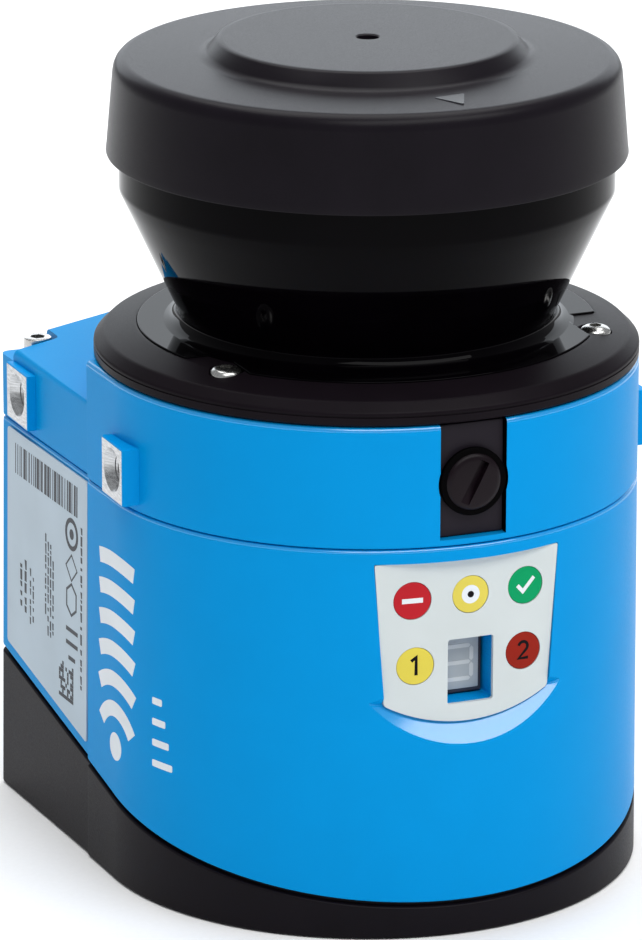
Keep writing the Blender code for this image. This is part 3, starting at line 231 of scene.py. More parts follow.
def rounded(corners, step=9.0):
    """Turn (x, y, radius) corners into (x, y) points with each corner rounded."""
    points = []
    count = len(corners)
    for index, (x, y, radius) in enumerate(corners):
        here = Vector((x, y))
        if radius <= 0:
            points.append((x, y))
            continue
        back = Vector(corners[index - 1][:2]) - here
        ahead = Vector(corners[(index + 1) % count][:2]) - here
        half = back.angle(ahead) / 2
        reach = min(radius / math.tan(half), 0.49 * back.length, 0.49 * ahead.length)
        radius = reach * math.tan(half)
        back.normalize()
        ahead.normalize()
        centre = here + (back + ahead).normalized() * (radius / math.sin(half))
        first = here + back * reach - centre
        last = here + ahead * reach - centre
        start = math.atan2(first.y, first.x)
        sweep = math.atan2(last.y, last.x) - start
        sweep = (sweep + math.pi) % (2 * math.pi) - math.pi
        steps = max(2, math.ceil(abs(math.degrees(sweep)) / step))
        for turn in range(steps + 1):
            angle = start + sweep * turn / steps
            points.append((centre.x + radius * math.cos(angle), centre.y + radius * math.sin(angle)))
    return points


def make_object(name, bm):
    """Put a bmesh into the scene as an object with outward faces."""
    bmesh.ops.recalc_face_normals(bm, faces=bm.faces)
    mesh = bpy.data.meshes.new(name)
    bm.to_mesh(mesh)
    bm.free()
    obj = bpy.data.objects.new(name, mesh)
    SCENE.collection.objects.link(obj)
    return obj


def skin(rows, closed=False):
    """Faces between closed rings of points in millimetres, capped or joined end to end."""
    bm = bmesh.new()
    rings = [[bm.verts.new(Vector(point) * MM) for point in row] for row in rows]
    pairs = list(zip(rings, rings[1:]))
    if closed:
        pairs.append((rings[-1], rings[0]))
    for near, far in pairs:
        count = len(near)
        for index in range(count):
            after = (index + 1) % count
            bm.faces.new((near[index], near[after], far[after], far[index]))
    if not closed:
        bm.faces.new(rings[0])
        bm.faces.new(rings[-1])
    return make_object("skin", bm)


@contextlib.contextmanager
def reshaped(obj):
    """Lend out an object's mesh as a bmesh and write it back."""
    bm = bmesh.new()
    bm.from_mesh(obj.data)
    yield bm
    bm.to_mesh(obj.data)
    bm.free()


def lathe(profile, steps=160, place=None):
    """Spin (radius, height) points about Z; place moves the result."""
    bm = bmesh.new()
    rings = []
    for radius, height in profile:
        if radius < 1e-6:
            rings.append([bm.verts.new((0.0, 0.0, height * MM))])
            continue
        ring = []
        for step in range(steps):
            turn = 2 * math.pi * step / steps
            ring.append(bm.verts.new((radius * math.cos(turn) * MM, radius * math.sin(turn) * MM,
                                      height * MM)))
        rings.append(ring)
    pairs = list(zip(rings, rings[1:]))
    if len(rings[0]) > 1:
        pairs.append((rings[-1], rings[0]))
    for near, far in pairs:
        for step in range(steps):
            after = (step + 1) % steps
            if len(near) == 1:
                bm.faces.new((near[0], far[step], far[after]))
            elif len(far) == 1:
                bm.faces.new((near[step], near[after], far[0]))
            else:
                bm.faces.new((near[step], near[after], far[after], far[step]))
    if place:
        bmesh.ops.transform(bm, matrix=place, verts=bm.verts)
    return make_object("lathe", bm)


def at(x, y, z=0.0):
    """Shift in millimetres."""
    return Matrix.Translation(Vector((x, y, z)) * MM)


def facing_front(x, z):
    """Lay a turned piece's axis along -Y through (x, z)."""
    return at(x, 0.0, z) @ Matrix.Rotation(math.radians(90), 4, "X")


def prism(outline, bottom, top):
    """Pull an (x, y) outline up from bottom to top."""
    return skin([[(x, y, z) for x, y in outline] for z in (bottom, top)])


def upright_prism(outline, front_y, back_y):
    """Pull an (x, z) outline through the depth from front_y to back_y."""
    return skin([[(x, y, z) for x, z in outline] for y in (front_y, back_y)])


def lying_prism(outline, front, back):
    """Pull an (x, z) outline backwards; depths are given as -y."""
    obj = prism(outline, front, back)
    obj.data.transform(Matrix.Rotation(math.radians(90), 4, "X"))
    return obj


def rectangle(x_span, y_span, radius=0.0):
    """Outline of a rectangle with rounded corners."""
    corners = [(x_span[0], y_span[0], radius), (x_span[1], y_span[0], radius),
               (x_span[1], y_span[1], radius), (x_span[0], y_span[1], radius)]
    return rounded(corners, step=15.0)


def block(x_span, y_span, z_span):
    """A plain block, used as a cutter or as stock."""
    return prism(rectangle(x_span, y_span), *z_span)


def rod(radius, start, end, steps=48):
    """A cylinder between two points."""
    start = Vector(start) * MM
    end = Vector(end) * MM
    turn = Vector((0, 0, 1)).rotation_difference(end - start).to_matrix().to_4x4()
    bm = bmesh.new()
    bmesh.ops.create_cone(bm, cap_ends=True, segments=steps, radius1=radius * MM, radius2=radius * MM,
                          depth=(end - start).length, matrix=Matrix.Translation((start + end) / 2) @ turn)
    return make_object("rod", bm)


def rods(radius, places, low, high):
    """Upright cylinders at several places."""
    return [rod(radius, (*place[:2], low), (*place[:2], high)) for place in places]


def thread(radii, start, end, pitch, steps):
    """Profile points of thread rings from start to end; steps are one ring's offsets."""
    crest, root = radii
    points = []
    depth = start
    while (end - depth) * pitch > 0:
        points += [(radius, depth + step) for radius, step in zip((crest, root, root, crest), steps)]
        depth += pitch
    return points


def mitre(before, after, distance, least):
    """Sideways step at the corner between two edges."""
    first, second = (Vector((-edge.y, edge.x)).normalized() for edge in (before, after))
    return (first + second) * (distance / max(1.0 + first.dot(second), least))


def bake(obj):
    """Replace an object's mesh by its evaluated one."""
    bpy.context.view_layer.update()
    graph = bpy.context.evaluated_depsgraph_get()
    mesh = bpy.data.meshes.new_from_object(obj.evaluated_get(graph))
    old = obj.data
    obj.modifiers.clear()
    obj.data = mesh
    bpy.data.meshes.remove(old)
    return obj


def carve(obj, tools, operation="DIFFERENCE"):
    """Apply Booleans with each tool in turn and drop the tools."""
    for tool in tools:
        boolean = obj.modifiers.new("carve", "BOOLEAN")
        boolean.operation = operation
        boolean.solver = "EXACT"
        boolean.object = tool
    bake(obj)
    for tool in tools:
        bpy.data.objects.remove(tool)
    return obj


def soften(obj, width):
    """Round the sharp edges that are left."""
    weld = obj.modifiers.new("weld", "WELD")
    weld.merge_threshold = WELD_METRES
    bevel = obj.modifiers.new("soften", "BEVEL")
    bevel.width = width * MM
    bevel.segments = 2
    bevel.limit_method = "ANGLE"
    bevel.angle_limit = math.radians(SOFTEN_DEGREES)
    bevel.use_clamp_overlap = False
    bevel.miter_outer = "MITER_ARC"
    return bake(obj)


def finish_piece(obj, name, materials, nodes=(), body="root", degrees=32.0):
    """Name, shade and hang a piece on its body."""
    obj.name = name
    obj.data.materials.clear()
    for material in materials:
        obj.data.materials.append(material)
    obj.data.shade_smooth()
    obj.data.set_sharp_from_angle(angle=math.radians(degrees))
    weighted = obj.modifiers.new("flat_faces", "WEIGHTED_NORMAL")
    weighted.keep_sharp = True
    bake(obj)
    obj.data.name = name
    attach(obj, body)
    if nodes:
        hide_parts(*nodes)
    return obj


def repaint(obj, rule):
    """Give faces another of the piece's materials where rule(centre, normal) returns its number."""
    for face in obj.data.polygons:
        number = rule(face.center / MM, face.normal)
        if number:
            face.material_index = number


def on_fillet(normal):
    """Whether a face belongs to a rounded upper edge."""
    return 0.15 < normal.z < 0.95


# ---- materials

NOISE_RANGE = (0.3, 0.7)    # where most of a noise texture's values lie


def set_inputs(node, values):
    """Set a node's unlinked inputs by name."""
    for name, value in values.items():
        node.inputs[name].default_value = value


def add_node(tree, kind, values):
    """Add a shader node with its inputs set."""
    node = tree.nodes.new("ShaderNode" + kind)
    set_inputs(node, values)
    return node


def new_material(name, colour, roughness, metallic=0.0, specular=0.5, coat=0.0):
    """A Principled material and its node tree."""
    material = bpy.data.materials.new(name)
    material.use_nodes = True
    shader = material.node_tree.nodes["Principled BSDF"]
    set_inputs(shader, {"Base Color": (*colour, 1.0), "Roughness": roughness, "Metallic": metallic,
                        "Specular IOR Level": specular, "Coat Weight": coat, "Coat Roughness": 0.1})
    return material, material.node_tree, shader


def coordinates(tree, stretch=(1.0, 1.0, 1.0)):
    """Object coordinates, stretched for brushed or turned surfaces."""
    source = tree.nodes.new("ShaderNodeTexCoord")
    mapping = add_node(tree, "Mapping", {"Scale": stretch})
    tree.links.new(source.outputs["Object"], mapping.inputs["Vector"])
    return mapping.outputs["Vector"]


def noise(tree, vector, scale, detail, rough=0.5):
    """Noise in features per metre."""
    node = add_node(tree, "TexNoise", {"Scale": scale, "Detail": detail, "Roughness": rough})
    tree.links.new(vector, node.inputs["Vector"])
    return node.outputs["Fac"]


def spread(tree, value, low, high):
    """Map a noise value to a range."""
    node = add_node(tree, "MapRange", {"From Min": NOISE_RANGE[0], "From Max": NOISE_RANGE[1],
                                       "To Min": low, "To Max": high})
    tree.links.new(value, node.inputs["Value"])
    return node.outputs["Result"]


def tint(tree, value, first, second):
    """Mix two colours by a noise value."""
    node = tree.nodes.new("ShaderNodeValToRGB")
    for stop, place, colour in zip(node.color_ramp.elements, NOISE_RANGE, (first, second)):
        stop.position = place
        stop.color = (*colour, 1.0)
    tree.links.new(value, node.inputs["Fac"])
    return node.outputs["Color"]


def relief(tree, shader, height, strength, depth_mm):
    """Bump from a height value."""
    node = add_node(tree, "Bump", {"Strength": strength, "Distance": depth_mm * MM})
    tree.links.new(height, node.inputs["Height"])
    tree.links.new(node.outputs["Normal"], shader.inputs["Normal"])


def surface(name, colour, roughness, grain_mm, depth_mm, shift=0.12, rough_shift=0.06,
            stretch=(1.0, 1.0, 1.0), blotch_mm=12.0, **options):
    """Painted, moulded or machined surface: fine grain, slow colour drift and uneven gloss."""
    material, tree, shader = new_material(name, colour, roughness, **options)
    vector = coordinates(tree, stretch)
    grain = noise(tree, vector, 1000.0 / grain_mm, 3.0, 0.6)
    blotch = noise(tree, vector, 1000.0 / blotch_mm, 2.0)
    darker = [channel * (1 - shift) for channel in colour]
    lighter = [min(channel * (1 + shift), 1.0) for channel in colour]
    tree.links.new(tint(tree, blotch, darker, lighter), shader.inputs["Base Color"])
    tree.links.new(spread(tree, grain, roughness - rough_shift, roughness + rough_shift),
                   shader.inputs["Roughness"])
    relief(tree, shader, grain, 0.5, depth_mm)
    return material


def circuit_board(name):
    """Solder mask over copper tracks."""
    green = (0.008, 0.10, 0.035)
    material, tree, shader = new_material(name, green, 0.38, coat=0.3)
    vector = coordinates(tree)
    tracks = add_node(tree, "TexBrick", {
        "Scale": 400.0, "Mortar Size": 0.06, "Color1": (*green, 1.0), "Color2": (0.012, 0.13, 0.05, 1.0),
        "Mortar": (0.02, 0.22, 0.09, 1.0)})
    tree.links.new(vector, tracks.inputs["Vector"])
    tree.links.new(tracks.outputs["Color"], shader.inputs["Base Color"])
    relief(tree, shader, tracks.outputs["Fac"], 0.4, 0.05)
    return material


def winding(name):
    """Enamelled wire wound round the stator."""
    material, tree, shader = new_material(name, (0.62, 0.24, 0.10), 0.3, metallic=1.0)
    vector = coordinates(tree)
    wires = add_node(tree, "TexWave", {"Scale": 700.0, "Distortion": 1.0})
    tree.links.new(vector, wires.inputs["Vector"])
    tree.links.new(tint(tree, wires.outputs["Fac"], (0.3, 0.1, 0.04), (0.7, 0.3, 0.13)),
                   shader.inputs["Base Color"])
    relief(tree, shader, wires.outputs["Fac"], 0.6, 0.15)
    return material


def lens_glass(name):
    """Coated lens glass."""
    material, tree, shader = new_material(name, (0.8, 0.86, 0.9), 0.03, coat=0.5)
    shader.inputs["Transmission Weight"].default_value = 0.9
    vector = coordinates(tree)
    drift = noise(tree, vector, 60.0, 1.0)
    tree.links.new(tint(tree, drift, (0.7, 0.78, 0.9), (0.85, 0.9, 0.92)), shader.inputs["Base Color"])
    return material


BLUE_PAINT = (0.0, 0.268, 0.64)
BLUE = surface("paint_blue", BLUE_PAINT, 0.38, 0.5, 0.02, shift=0.015, rough_shift=0.04, specular=0.04)
BLUE_SMOOTH = surface("paint_blue_smooth", BLUE_PAINT, 0.16, 2.0, 0.004, shift=0.02, rough_shift=0.03,
                      specular=1.0)
BASE_BLACK = surface("base_textured_black", (0.0055, 0.004, 0.006), 0.42, 0.3, 0.03, specular=0.08)
CAP_BLACK = surface("cap_satin_black", (0.006, 0.0045, 0.007), 0.33, 0.2, 0.03, specular=0.1)
RING_BLACK = surface("ring_satin_black", (0.0065, 0.0045, 0.0065), 0.38, 0.18, 0.02, specular=0.05)
WINDOW_BLACK = surface("window_gloss_black", (0.0008, 0.0005, 0.001), 0.04, 2.5, 0.0005, shift=0.3,
                       rough_shift=0.012, specular=0.04)
PLATE_GREY = surface("port_strip_grey", (0.013, 0.010, 0.015), 0.5, 0.2, 0.02, specular=0.12)
PLUG_BLACK = surface("plug_black", (0.006, 0.003, 0.005), 0.36, 0.25, 0.015, specular=0.12)
# Near-black painted shade, laid on the port recess walls and the flange round the plug head where shade
# falls.
PAINTED_SHADE_BLACK = surface("painted_shade_black", (0.001, 0.0008, 0.001), 0.6, 0.3, 0.01, specular=0.02)
RUBBER = surface("seal_rubber", (0.018, 0.018, 0.018), 0.75, 0.4, 0.03, specular=0.3)
BARE_METAL = surface("pad_bare_aluminium", (0.50, 0.51, 0.52), 0.3, 0.18, 0.03, shift=0.25, rough_shift=0.1,
                     stretch=(1.0, 1.0, 6.0), blotch_mm=1.6, metallic=1.0)
STEEL = surface("screw_steel", (0.55, 0.545, 0.53), 0.24, 0.25, 0.008, shift=0.15, blotch_mm=1.2,
                metallic=1.0)
ALUMINIUM = surface("cast_aluminium", (0.55, 0.56, 0.57), 0.42, 0.5, 0.03, metallic=1.0)
BRASS = surface("machined_brass", (0.66, 0.46, 0.18), 0.28, 0.3, 0.01, stretch=(1.0, 1.0, 5.0), metallic=1.0)
PANEL_GREY = surface("panel_foil", (0.57, 0.615, 0.615), 0.45, 0.3, 0.012, shift=0.02, specular=0.2)
LABEL_SILVER = surface("label_foil", (0.42, 0.51, 0.58), 0.4, 0.2, 0.006, shift=0.04, specular=0.25)
CASE_GREY = surface("display_case", (0.045, 0.045, 0.06), 0.45, 0.3, 0.01, specular=0.2)
DISPLAY_GREY = surface("display_face", (0.40, 0.43, 0.44), 0.4, 0.3, 0.01, shift=0.06, specular=0.3)
SEGMENT_GREY = surface("display_segments", (0.60, 0.62, 0.61), 0.4, 0.2, 0.01)
PRINT_WHITE = surface("print_white", (0.72, 0.76, 0.79), 0.5, 0.15, 0.006, shift=0.03, specular=0.2)
PRINT_BLACK = surface("print_black", (0.006, 0.005, 0.006), 0.5, 0.15, 0.006, specular=0.06)
LABEL_INK = surface("label_ink", (0.05, 0.055, 0.065), 0.5, 0.15, 0.004, specular=0.2)
CAP_MARK = surface("cap_mark_grey", (0.05, 0.053, 0.058), 0.45, 0.2, 0.01)
SOCKET_BLACK = surface("socket_black", (0.014, 0.014, 0.016), 0.45, 0.4, 0.01, specular=0.25)
GOLD = surface("contact_gold", (0.80, 0.60, 0.22), 0.22, 0.2, 0.004, metallic=1.0)
MIRROR = surface("mirror_silver", (0.93, 0.93, 0.94), 0.02, 5.0, 0.0001, shift=0.02, rough_shift=0.005,
                 metallic=1.0)
FLEX = surface("flex_polyimide", (0.52, 0.24, 0.04), 0.36, 0.4, 0.01, shift=0.15)
LAMP_COLOURS = {
    "stop": (0.45, 0.014, 0.022),
    "warning": (0.67, 0.56, 0.09),
    "ok": (0.0, 0.295, 0.105),
    "output_1": (0.67, 0.56, 0.075),
    "output_2": (0.26, 0.014, 0.006),
}
LAMP_MATERIALS = {lamp: surface("lens_" + lamp, colour, 0.36, 0.25, 0.008, shift=0.04, specular=0.08)
                  for lamp, colour in LAMP_COLOURS.items()}


# ---- housing shapes

def arc_points(centre_x, centre_y, radius, start, end, steps):
    """Points of an arc, angles in degrees."""
    points = []
    for step in range(steps + 1):
        turn = math.radians(start + (end - start) * step / steps)
        points.append((centre_x + radius * math.cos(turn), centre_y + radius * math.sin(turn)))
    return points


def housing_plan(inset):
    """Plan at the underside: half circle in front, a small step at the crease, flaring sides."""
    radius = FRONT_RADIUS - inset
    front = arc_points(0.0, 0.0, radius, 180.0, 360.0, FRONT_STEPS)
    right = [(radius + 0.1, 4.0), (radius + 0.2, 8.0), (radius + 0.29, CREASE_Y - 0.4)]
    right += [(radius + 0.27, CREASE_Y - 0.12), (radius + 0.1, CREASE_Y + 0.05)]
    right += [(CREASE_HALF - inset + 0.05, CREASE_Y + 0.45), (CREASE_HALF - inset, CREASE_Y + 0.7)]
    corner = max(CORNER_RADIUS - inset, 0.4)
    right += arc_points(REAR_HALF - inset - corner, REAR_Y - inset - corner, corner, 0.0, 90.0, 8)
    return front + right + [(-x, y) for x, y in reversed(right)]


def lean(x, y, z):
    """Draft of the walls: they lean in as they rise to the seam."""
    rise = min(max(z / SEAM_Z, 0.0), 1.0)
    if y <= CREASE_Y + 0.1:
        shrink = 1.0 - FRONT_DRAFT / FRONT_RADIUS * rise
        return x * shrink, y * shrink, z
    return x - math.copysign(SIDE_DRAFT * rise, x), y, z


def housing_row(inset, height, front_clip=None, slanted=False):
    """One ring round the housing; a slanted one rises towards the back."""
    row = []
    for x, y in housing_plan(inset):
        if front_clip is not None:
            y = max(y, front_clip)
        z = height + (SLANT * y if slanted else 0.0)
        row.append(lean(x, y, z))
    return row


def fillet(radius, steps):
    """(inset, drop) pairs of a rounded edge, from the wall up to the flat."""
    pairs = []
    for step in range(steps + 1):
        turn = math.pi / 2 * step / steps
        pairs.append((radius * (1 - math.cos(turn)), radius * (1 - math.sin(turn))))
    return pairs


def side_wall_x(y, z):
    """Half width of the flaring side wall at a height."""
    share = (y - CREASE_Y - 0.6) / (REAR_Y - CORNER_RADIUS - CREASE_Y - 0.6)
    return CREASE_HALF + (REAR_HALF - CREASE_HALF) * share - SIDE_DRAFT * min(z / SEAM_Z, 1.0)


def panel_face_y(x, z):
    """Front face of the curved, tilted status panel."""
    return PANEL_FRONT_Y + PANEL_TILT * (PANEL_TOP - z) + x * x / (2 * PANEL_RADIUS)


def bottom_arc(half, tip_z, bottom_z):
    """Points of a hanging arc from left to right: (x, z)."""
    depth = tip_z - bottom_z
    radius = (half * half + depth * depth) / (2 * depth)
    sweep = math.asin(half / radius)
    arc = []
    for step in range(PANEL_ARC_STEPS + 1):
        turn = -sweep + 2 * sweep * step / PANEL_ARC_STEPS
        arc.append((radius * math.sin(turn), bottom_z + radius - radius * math.cos(turn)))
    return arc


def panel_outline(grow):
    """Front view of the panel with its lower corners rounded: (x, z)."""
    arc = bottom_arc(PANEL_SIDE_HALF + grow, PANEL_SIDE_Z, PANEL_BOTTOM - grow)
    half = PANEL_TOP_HALF + grow
    top = PANEL_TOP + grow
    side, low = arc[-1]
    corners = [(x, z, 0.0) for x, z in arc[3:-3]]
    corners += [(side, low, PANEL_LOW_CORNER), (half, top, PANEL_TOP_CORNER), (-half, top, PANEL_TOP_CORNER),
                (-side, low, PANEL_LOW_CORNER)]
    return rounded(corners)


def curved_slab(front_offset, back_offset):
    """Slab that follows the panel's curve between two depths behind its face."""
    steps, half, low, high = 72, 22.0, 30.0, 75.0
    edges = ((low, front_offset), (high, front_offset), (high, back_offset), (low, back_offset))
    across = [half * (2 * step / steps - 1) for step in range(steps + 1)]
    return skin([[(x, panel_face_y(x, z) + offset, z) for z, offset in edges] for x in across])


def scoop():
    """Crescent scoop, ruled from the panel's bottom edge out to a wider arc on the housing."""
    inner = bottom_arc(PANEL_SIDE_HALF, PANEL_SIDE_Z, PANEL_BOTTOM - 0.1)
    outer = bottom_arc(SCOOP_HALF, SCOOP_TIP_Z, SCOOP_BOTTOM)
    columns = []
    for (inner_x, inner_z), (outer_x, outer_z) in zip(inner, outer):
        back_y = panel_face_y(inner_x, inner_z) + PANEL_THICKNESS
        wall_y = -math.sqrt((FRONT_RADIUS - 0.25) ** 2 - outer_x ** 2)
        reach = (AHEAD_Y - back_y) / (wall_y - back_y)
        tip_x = inner_x + (outer_x - inner_x) * reach
        tip_z = inner_z + (outer_z - inner_z) * reach
        columns.append([(inner_x, back_y, inner_z), (tip_x, AHEAD_Y, tip_z)])
    lid_back, lid_front = (columns[0][end][2] + 0.15 for end in (0, 1))
    for column in columns:
        column.append((column[1][0], AHEAD_Y, lid_front))
        column.append((column[0][0], column[0][1], lid_back))
    obj = skin(columns)
    with reshaped(obj) as bm:
        bmesh.ops.triangulate(bm, faces=bm.faces)
    return obj


def panel_stock(grow, front, back):
    """The panel's outline between two depths behind its curved face."""
    stock = upright_prism(panel_outline(grow), *STOCK_Y)
    return carve(stock, [curved_slab(front, back)], "INTERSECT")


def front_cutters(bore, steps):
    """Bores for the lamps and the display's opening."""
    cutters = [rod(bore, (p.x, AHEAD_Y, p.z), (p.x, BEHIND_Y, p.z), steps) for p in LAMPS.values()]
    return cutters + [upright_prism(rectangle(OPENING_X, OPENING_Z, 0.5), AHEAD_Y, BEHIND_Y)]


def build_base():
    """Black tray: slanted lip, groove under the blue casing, rear bay, posts and screw seats."""
    rows = [housing_row(0.5, 0.0), housing_row(0.15, 0.12), housing_row(0.0, 0.5)]
    lip = RIM_Z - GROOVE
    for inset, drop in fillet(0.35, 3):
        rows.append(housing_row(inset, lip - drop, slanted=True))
    for inset, height in ((LIP_INSET, lip), (LIP_INSET, RIM_Z + 0.2), (TRAY_WALL, RIM_Z - 0.4)):
        rows.append(housing_row(inset, height, slanted=True))
    rows.append(housing_row(TRAY_WALL, 3.5))
    base = skin(rows)
    bay_shell = block((-BAY_HALF - TRAY_WALL, BAY_HALF + TRAY_WALL), (BAY_FRONT_Y - TRAY_WALL, REAR_Y - 1.0),
                      (TRAY_WALL, BAY_Z[1] + TRAY_WALL))
    carve(base, [bay_shell] + rods(3.2, POSTS, TRAY_WALL, 23.7), "UNION")
    slot = block((SOCKET_LOW.x - CLEARANCE, SOCKET_HIGH.x + CLEARANCE), (30.0, BAY_FRONT_Y + 1.0),
                 (SOCKET_LOW.z - CLEARANCE, SOCKET_HIGH.z + CLEARANCE))
    cutters = [lying_prism(rectangle((-BAY_HALF, BAY_HALF), BAY_Z, 1.2), -REAR_Y - 5.0, -BAY_FRONT_Y), slot]
    cutters += rods(POST_TAP, POSTS, 18.0, 25.0)
    seat = [(0, 2.2), (3.7, 2.2), (3.9, 2.0), (3.9, 0.4), (4.3, -0.1), (4.3, -1.0), (0, -1.0)]
    for place in BASE_SCREWS.values():
        cutters.append(lathe(seat, SMALL_ROUND, at(place.x, place.y)))
        cutters += rods(BASE_SCREW_BORE, [place], 1.0, 5.0)
    carve(base, cutters)
    finish_piece(base, "base_tray", [BASE_BLACK], ["base_shell"])


def build_lower_housing():
    """Blue casing from the slanted rim to the seam with the panel seat and the scoop."""
    rows = [housing_row(inset, RIM_Z + drop, slanted=True) for inset, drop in reversed(fillet(0.45, 3))]
    top = SEAM_Z - SEAM_GAP
    rows += [housing_row(inset, top - drop) for inset, drop in fillet(0.6, 4)]
    rows += [housing_row(SEAM_INSET, top), housing_row(SEAM_INSET, SEAM_STEP_Z),
             housing_row(WALL, SEAM_STEP_Z, SEAT_Y), housing_row(WALL, RIM_Z, SEAT_Y, slanted=True)]
    shell = skin(rows, closed=True)
    bosses = []
    for place in BASE_SCREWS.values():
        bosses += rods(4.2, [place], 3.8, 20.0 if place.y < 0 else 40.0)
    bosses += rods(BOSS_RADIUS, DECK_SCREWS.values(), 52.0, SEAM_Z - 2.0)
    carve(shell, bosses, "UNION")
    cutters = [panel_stock(PANEL_GAP, -20.0, PANEL_THICKNESS + 0.1), scoop()]
    cutters += front_cutters(LAMP_ROD_RADIUS + CLEARANCE, 48)
    cutters += rods(BASE_SCREW_BORE, BASE_SCREWS.values(), 0.0, 16.0)
    cutters += rods(DECK_SCREW_TAP, DECK_SCREWS.values(), 57.0, SEAM_Z + 2.0)
    carve(shell, cutters)
    finish_piece(shell, "lower_casing", [BLUE, BLUE_SMOOTH], ["lower_housing"])

    def smooth_faces(centre, normal):
        """The scoop's floor and the rounded edge under the seam."""
        under_wall = math.hypot(centre.x, centre.y) < FRONT_RADIUS - 0.37
        in_scoop = (SCOOP_BOTTOM - 0.5 < centre.z < SCOOP_TIP_Z + 0.6 and centre.y < FRONT_Y and under_wall
                    and normal.z > 0.2 and centre.y < panel_face_y(centre.x, centre.z) + 0.5)
        at_seam = centre.z > SEAM_Z - 0.8 and on_fillet(normal)
        return 1 if in_scoop or at_seam else 0

    repaint(shell, smooth_faces)


def deck_clearance():
    """Everything above the sloping rear deck and outside the round drum."""
    start = math.degrees(math.asin(CREASE_Y / RING_RADIUS))
    arc = arc_points(0.0, 0.0, RING_RADIUS, start, 180.0 - start, 96)
    plan = arc + [(-BEYOND_X, CREASE_Y), (-BEYOND_X, BEYOND_Y), (BEYOND_X, BEYOND_Y), (BEYOND_X, CREASE_Y)]
    space = prism(plan, 75.0, 105.0)
    edge_z = DECK_Z - DECK_FALL * (BEYOND_X - DECK_FLAT_HALF)
    roof = [(-65.0, 60.0), (65.0, 60.0), (65.0, edge_z), (BEYOND_X, edge_z), (DECK_FLAT_HALF, DECK_Z),
            (-DECK_FLAT_HALF, DECK_Z), (-BEYOND_X, edge_z), (-65.0, edge_z)]
    return carve(space, [upright_prism(roof, -5.0, 80.0)])


def round_deck_edges(shell):
    """Round the rear deck where it meets the side walls and the back."""
    with reshaped(shell) as bm:
        bmesh.ops.remove_doubles(bm, verts=bm.verts, dist=WELD_METRES)
        bmesh.ops.dissolve_degenerate(bm, edges=bm.edges, dist=WELD_METRES)
        chosen = []
        for edge in bm.edges:
            if len(edge.link_faces) != 2:
                continue
            tilts = sorted(abs(face.normal.z) for face in edge.link_faces)
            middle = (edge.verts[0].co + edge.verts[1].co) / 2 / MM
            at_rim = abs(middle.x) > REAR_HALF - 3.2 or middle.y > REAR_Y - 1.9
            on_deck = middle.y > CREASE_Y + 0.8 and middle.z > 80.0
            if tilts[0] < 0.3 and tilts[1] > 0.9 and at_rim and on_deck:
                chosen.append(edge)
        bmesh.ops.bevel(bm, geom=chosen, offset=DECK_FILLET * MM, segments=5, affect="EDGES", profile=0.5)


def thread_cutter(side, y):
    """Countersunk blind hole with thread rings, bored into a pad from outside."""
    crest, root = PAD_THREAD
    sink_end = -PAD_SINK * 0.38
    profile = [(0.0, 2.0), (PAD_SINK + 2.0, 2.0), (PAD_SINK, 0.0), (crest, sink_end)]
    steps = (0.0, -0.25, -0.4, -0.65)
    profile += thread(PAD_THREAD, sink_end - 0.2, -PAD_DEPTH + PAD_PITCH, -PAD_PITCH, steps)
    profile += [(root, -PAD_DEPTH + 0.3), (0.0, -PAD_DEPTH)]
    place = at(side * PAD_X, y, PAD_HOLE_Z) @ Matrix.Rotation(math.radians(90) * side, 4, "Y")
    return lathe(profile, SMALL_ROUND, place)


